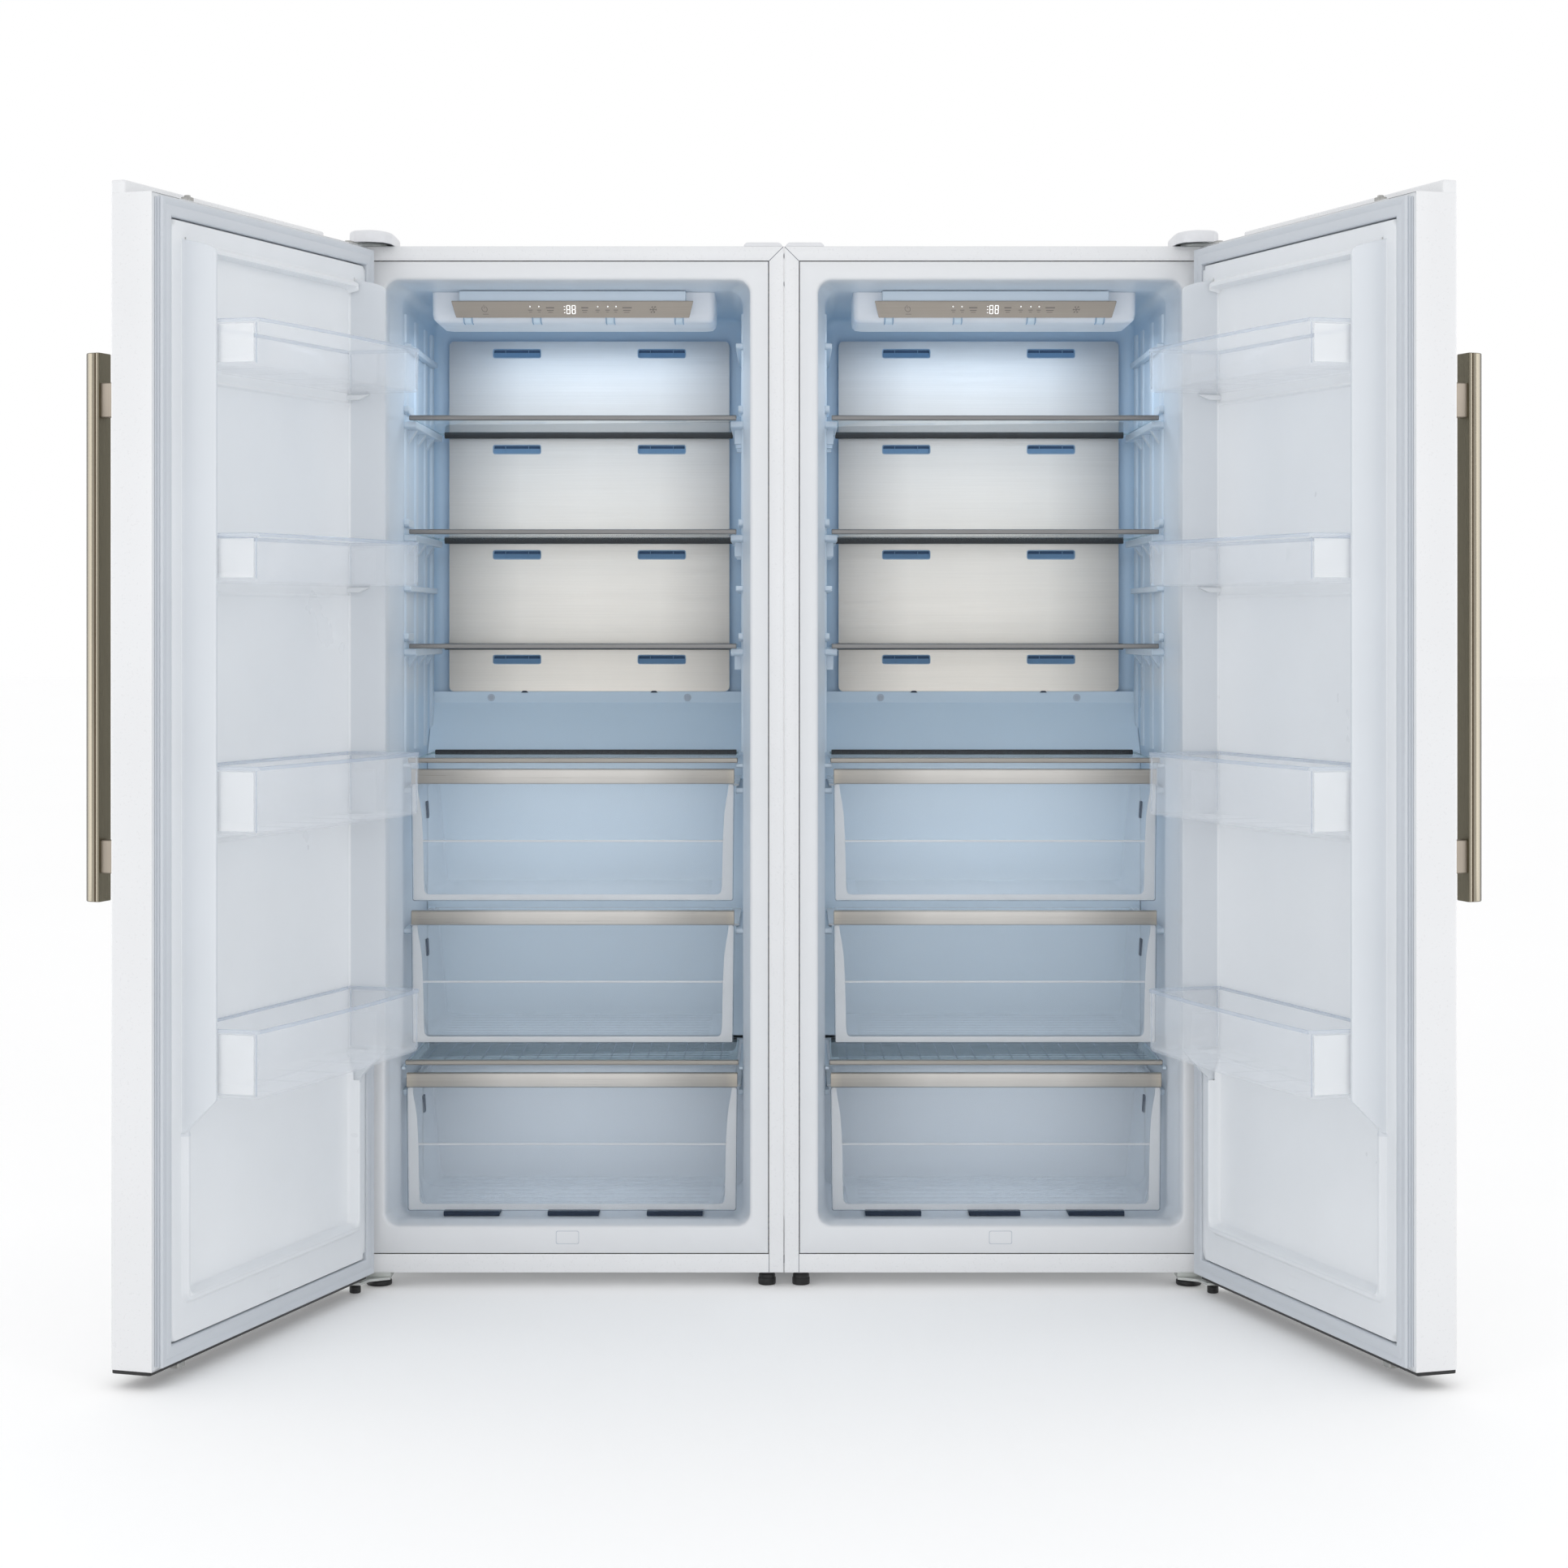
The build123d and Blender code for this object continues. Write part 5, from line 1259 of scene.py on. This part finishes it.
def build(side):
    R = "cabinets"
    make(side + "_shell", cabinet_shell(), side, ["white"], R, repl=side + "_cabinet_shell")
    make(side + "_frame_joints", seam_lines(), side, ["gap"], R)
    make(side + "_rear_sheet", cabinet_rear(), side, ["white"], R, bevel=0.4)
    make(side + "_liner", inner_liner(), side, ["liner"], R, solidify=1.8, recalc=False, repl=side + "_inner_liner", sharp=50)
    make(side + "_liner_hump", liner_hump(), side, ["liner"], R, bevel=3.0, segs=3)
    make(side + "_wall_ledges", side_pieces(), side, ["liner_rib"], R, bevel=1.6, segs=3)
    make(side + "_wall_columns", columns(), side, ["liner_rib"], R, bevel=0.8, segs=2)
    make(side + "_vent_rims", vent_rims(), side, ["vent_rim"], R, sharp=60)
    make(side + "_vent_throats", vent_throats(), side, ["vent", "vent_painted_shadow"], R)
    make(side + "_cover_plugs", cover_plugs(), side, ["flange", "dark"], R)
    make(side + "_lamp", lamp_shape(), side, ["lamp"], R)
    make(side + "_lamp_tabs", lamp_tabs(), side, ["cavity", "vent_rim"], R, bevel=0.5)
    face = make(side + "_control_face", panel_face(), side, ["panel"], R)
    body = Shape().prism([(122.4, 1629.0), (133.4, 1606.0), (145.5, 1604.8), (145.5, 1647.4), (121.6, 1647.4), (121.6, 1630.2)], 0, XC - 190, XC + 190)
    make(side + "_control_body", body, side, ["liner_rib"], R, bevel=1.0)
    if side == "left":
        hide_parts("control_panels")
    ic = icons(1)
    if side == "right":
        # the right unit is a mirror image, but its display reads the same way round
        ic.v = [(2 * XC - x, y, z) for x, y, z in ic.v]
    make(side + "_control_icons", ic, side, ["digit", "mark"], R)
    for k, z in enumerate(SHELF_Z):
        b = f"{side}_shelf_unit_{k + 1}"
        n = f"{side}_shelf_{k + 1}"
        x0, x1 = XC - 275, XC + 275
        make(n + "_glass", glass_plate(x0 + 3, x1 - 3, 139, 566, z + 0.5, z + 4.5), side, ["glass", "glass_edge"], b, repl=n)
        make(n + "_front_trim", trim_bar(x0, x1, 130, 143, z, z + 8.5), side, ["shelf_trim"], b)
        make(n + "_rear_trim", trim_bar(XC - 262, XC + 262, 563.5, 573.5, z - 5.0, z + 6.5, 1.6), side, ["shelf_black"], b)
    for k in range(3):
        b = f"{side}_drawer_unit_{k + 1}"
        n = f"{side}_drawer_{k + 1}"
        make(n + "_tub", drawer_tub(k), side, ["drawer", "drawer_edge"], b, repl=n, sharp=50)
        make(n + "_runners", drawer_runners(k), side, ["drawer_edge"], b, bevel=0.8)
        make(n + "_front", drawer_front(k), side, ["drawer", "drawer_rim"], b)
        make(n + "_stiles", drawer_stiles(k), side, ["drawer_edge", "drawer_rim"], b)
        make(n + "_lip", drawer_lip(k), side, ["lip"], b, bevel=0.2)
        make(n + "_floor_ribs", drawer_floor(k), side, ["drawer"], b)
        make(n + "_grips", drawer_slots(k), side, ["dark"], b, bevel=0.6)
        make(n + "_metal_strip", drawer_strip(k), side, ["trim"], b, repl=n + "_strip")
    make(side + "_flange_badge", badge_frame(), side, ["flange"], R)
    make(side + "_floor_recesses", floor_recesses(), side, ["dark"], R, bevel=1.0)

    D = side + "_door_unit"
    make(side + "_door_sheet", door_skin(), side, ["white"], D, door=True, repl=side + "_door_skin", solidify=0.9, recalc=False)
    make(side + "_door_top_lip", door_lip(), side, ["white"], D, door=True)
    make(side + "_door_inner", door_liner(), side, ["door_liner", "door_recess", "door_dyke"], D, door=True, repl=side + "_door_liner", solidify=1.8, recalc=False, sharp=60)
    make(side + "_bin_seats", bin_seats(), side, ["door_liner"], D, door=True, bevel=1.2)
    make(side + "_door_badge", door_badge(), side, ["door_liner"], D, door=True)
    make(side + "_seal", gasket(), side, ["gasket"], D, door=True, repl=side + "_door_gasket", sharp=50)
    make(side + "_pull_bar", handle_bar(), side, ["brass", "brass_back", "brass_groove_painted_shadow"], D, door=True, repl=side + "_door_handle", sharp=40)
    make(side + "_pull_posts", handle_posts(), side, ["brass_post"], D, door=True)
    make(side + "_door_foot_trim", door_trim(), side, ["black"], D, door=True, repl=side + "_door_bottom_trim")
    make(side + "_door_stop_blocks", stops(), side, ["stop"], D, door=True, repl=side + "_door_stops")
    for k in range(4):
        b = f"{side}_bin_unit_{k + 1}"
        n = f"{side}_door_bin_{k + 1}"
        make(n + "_tray", bin_shape(k), side, ["clear", "clear_rim"], b, door=True, repl=n, sharp=50)
        make(n + "_ribs", bin_clip(k), side, ["clear", "clear_rim", "clear_panel"], b, door=True, bevel=0.3)


for side in ("left", "right"):
    build(side)

# pieces of both units that stand for one shared node
for side in ("left", "right"):
    R = "cabinets"
    g = glass_plate(XC - 274, XC + 274, 139, 484, 856.0, 860.0)
    a = make(side + "_upper_cover_glass", g, side, ["glass", "glass_edge"], R)
    g = glass_plate(XC - 276, XC + 276, 119, 406.3, 350.5, 354.5)
    make(side + "_lower_cover_glass", g, side, ["glass_low", "glass_edge"], R)
    t = make(side + "_upper_cover_trim", trim_bar(XC - 277, XC + 277, 130, 143, 855.0, 863.5), side, ["cover_trim"], R)
    make(side + "_lower_cover_trim", trim_bar(XC - 279, XC + 279, 110, 123, 350.0, 358.0), side, ["cover_trim"], R)
    make(side + "_upper_cover_rear", trim_bar(XC - 270, XC + 270, 482, 492, 854.5, 863.5, 1.6), side, ["shelf_black"], R)
    make(side + "_lower_cover_rear", trim_bar(XC - 272, XC + 272, 404, 414, 349.5, 357.0, 1.6), side, ["shelf_black"], R)
    h = make(side + "_hinge_lid", hinge_cover(), side, ["cap"], R)
    make(side + "_blank_lid", blank_cover(), side, ["cap"], R)
    fo = make(side + "_feet", feet(), side, ["black"], R)
    if side == "left":
        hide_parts("drawer_cover_glass")
        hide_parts("drawer_cover_trims")
        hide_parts("hinge_covers")
        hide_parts("levelling_feet")
        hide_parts("ceiling_lamps")

# faint printed grid on the lowest drawer's glass cover
for side in ("left", "right"):
    s = Shape()
    for i in range(17):
        x = XC - 248 + i * 31
        s.box(x - 0.9, x + 0.9, 128, 398, 354.6, 354.9)
    for j in range(9):
        y = 136 + j * 31
        s.box(XC - 262, XC + 262, y - 1.6, y + 1.6, 354.6, 354.9)
    make(side + "_cover_grid", s, side, ["drawer_rim"], "cabinets")

# ---------------------------------------------------------------- carried CAD nodes
dress("foam_insulation", "foam")
dress("left_door_foam", "foam")
dress("right_door_foam", "foam")
dress("air_duct_panels", "duct")
dress("evaporator_covers", "cavity")
dress("evaporators", "alu")
dress("compressors", "blackmetal")
dress("machine_compartment_covers", "galv")
dress("hinge_brackets", "zinc", bevel=0.4)
dress("joining_kit", "galv", bevel=0.3)
dress("left_evaporator_fan", "fan")
dress("right_evaporator_fan", "fan")

# ---------------------------------------------------------------- stage, camera and light
floor = bpy.data.meshes.new("floor")
floor.from_pydata([(-30, -12, 0), (30, -12, 0), (30, 60, 0), (-30, 60, 0)], [], [(0, 1, 2, 3)])
fo = bpy.data.objects.new("floor", floor)
scene.collection.objects.link(fo)
fm = NT("studio_floor")
n = fm.noise((0.6, 0.6, 0.6), detail=2)
fm.link(fm.ramp(n, [(0.3, (0.955, 0.955, 0.955)), (0.7, (0.965, 0.965, 0.965))]), "Base Color")
fm.put(Roughness=0.7)
fm.p.inputs["Emission Color"].default_value = (1, 1, 1, 1)
fm.p.inputs["Emission Strength"].default_value = 0.10
floor.materials.append(fm.m)

cam = bpy.data.cameras.new("camera")
cam.sensor_width = 36.0
cam.lens = 36.0 * 3900.0 / 1932.0
cam.shift_y = -196.0 / 1932.0
cam.clip_end = 100
co = bpy.data.objects.new("camera", cam)
co.location = (0.0, FY * MM - 5.188, 1.087)
co.rotation_euler = (math.radians(90), 0, 0)
scene.collection.objects.link(co)
scene.camera = co

world = bpy.data.worlds.new("studio")
world.use_nodes = True
bg = world.node_tree.nodes["Background"]
wt = world.node_tree
tc = wt.nodes.new("ShaderNodeTexCoord")
sx_ = wt.nodes.new("ShaderNodeSeparateXYZ")
rp = wt.nodes.new("ShaderNodeValToRGB")
mr = wt.nodes.new("ShaderNodeMapRange")
wt.links.new(tc.outputs["Generated"], sx_.inputs["Vector"])
wt.links.new(sx_.outputs["Y"], mr.inputs["Value"])
mr.inputs["From Min"].default_value, mr.inputs["From Max"].default_value = -1.0, 1.0
wt.links.new(mr.outputs["Result"], rp.inputs["Fac"])
e = rp.color_ramp.elements
e[0].position, e[0].color = 0.0, (0.92, 0.92, 0.925, 1)
e[1].position, e[1].color = 1.0, (1.0, 1.0, 1.0, 1)
for pos, v in ((0.25, 0.90), (0.46, 0.78), (0.60, 0.96), (0.70, 1.0)):
    k = e.new(pos)
    k.color = (v, v, v * 1.004, 1)
wt.links.new(rp.outputs["Color"], bg.inputs["Color"])
bg.inputs["Strength"].default_value = 1.0
scene.world = world


def area(name, loc, target, size, power, color=(1, 1, 1)):
    l = bpy.data.lights.new(name, "AREA")
    l.shape = "RECTANGLE"
    l.size, l.size_y = size
    l.energy = power
    l.color = color
    o = bpy.data.objects.new(name, l)
    o.location = loc
    d = Vector(target) - Vector(loc)
    o.rotation_euler = d.to_track_quat("-Z", "Y").to_euler()
    scene.collection.objects.link(o)
    return o
    return o


area("key_left", (-3.2, -4.2, 2.9), (0, 0.1, 0.9), (2.0, 3.0), 14)
area("key_right", (3.2, -4.2, 2.9), (0, 0.1, 0.9), (2.0, 3.0), 14)
area("front_fill", (0, -6.2, 1.6), (0, 0.2, 0.85), (3.0, 2.4), 14)
for sx in (-1, 1):
    area(f"cavity_{'left' if sx < 0 else 'right'}", (sx * 0.355, FY * MM + 0.25, 1.590), (sx * 0.355, FY * MM + 0.30, 0.9), (0.42, 0.14), 0.75, (0.80, 0.90, 1.0))
    for k, (dy0, inset, dz0, dt0, dt1, dy1) in enumerate(DRAWERS):
        area(f"drawer_glow_{sx}_{k}", (sx * 0.355, (FY + 250.0) * MM, (dt0 - 6.0) * MM), (sx * 0.355, (FY + 330.0) * MM, (dz0 - 60.0) * MM), (0.36, 0.14), (0.26, 0.02, 0.20)[k], (0.97, 0.98, 1.0))
    # strip light beside each door, for the long highlight on the handle
    strip = area(f"handle_strip_{sx}", (sx * 3.1, -0.5, 1.15), (sx * 0.95, FY * MM - 0.62, 1.08), (2.0, 2.8), 32)
    strip.visible_diffuse = False

scene.view_settings.view_transform = "Standard"
scene.cycles.transparent_max_bounces = 48
scene.cycles.max_bounces = 14
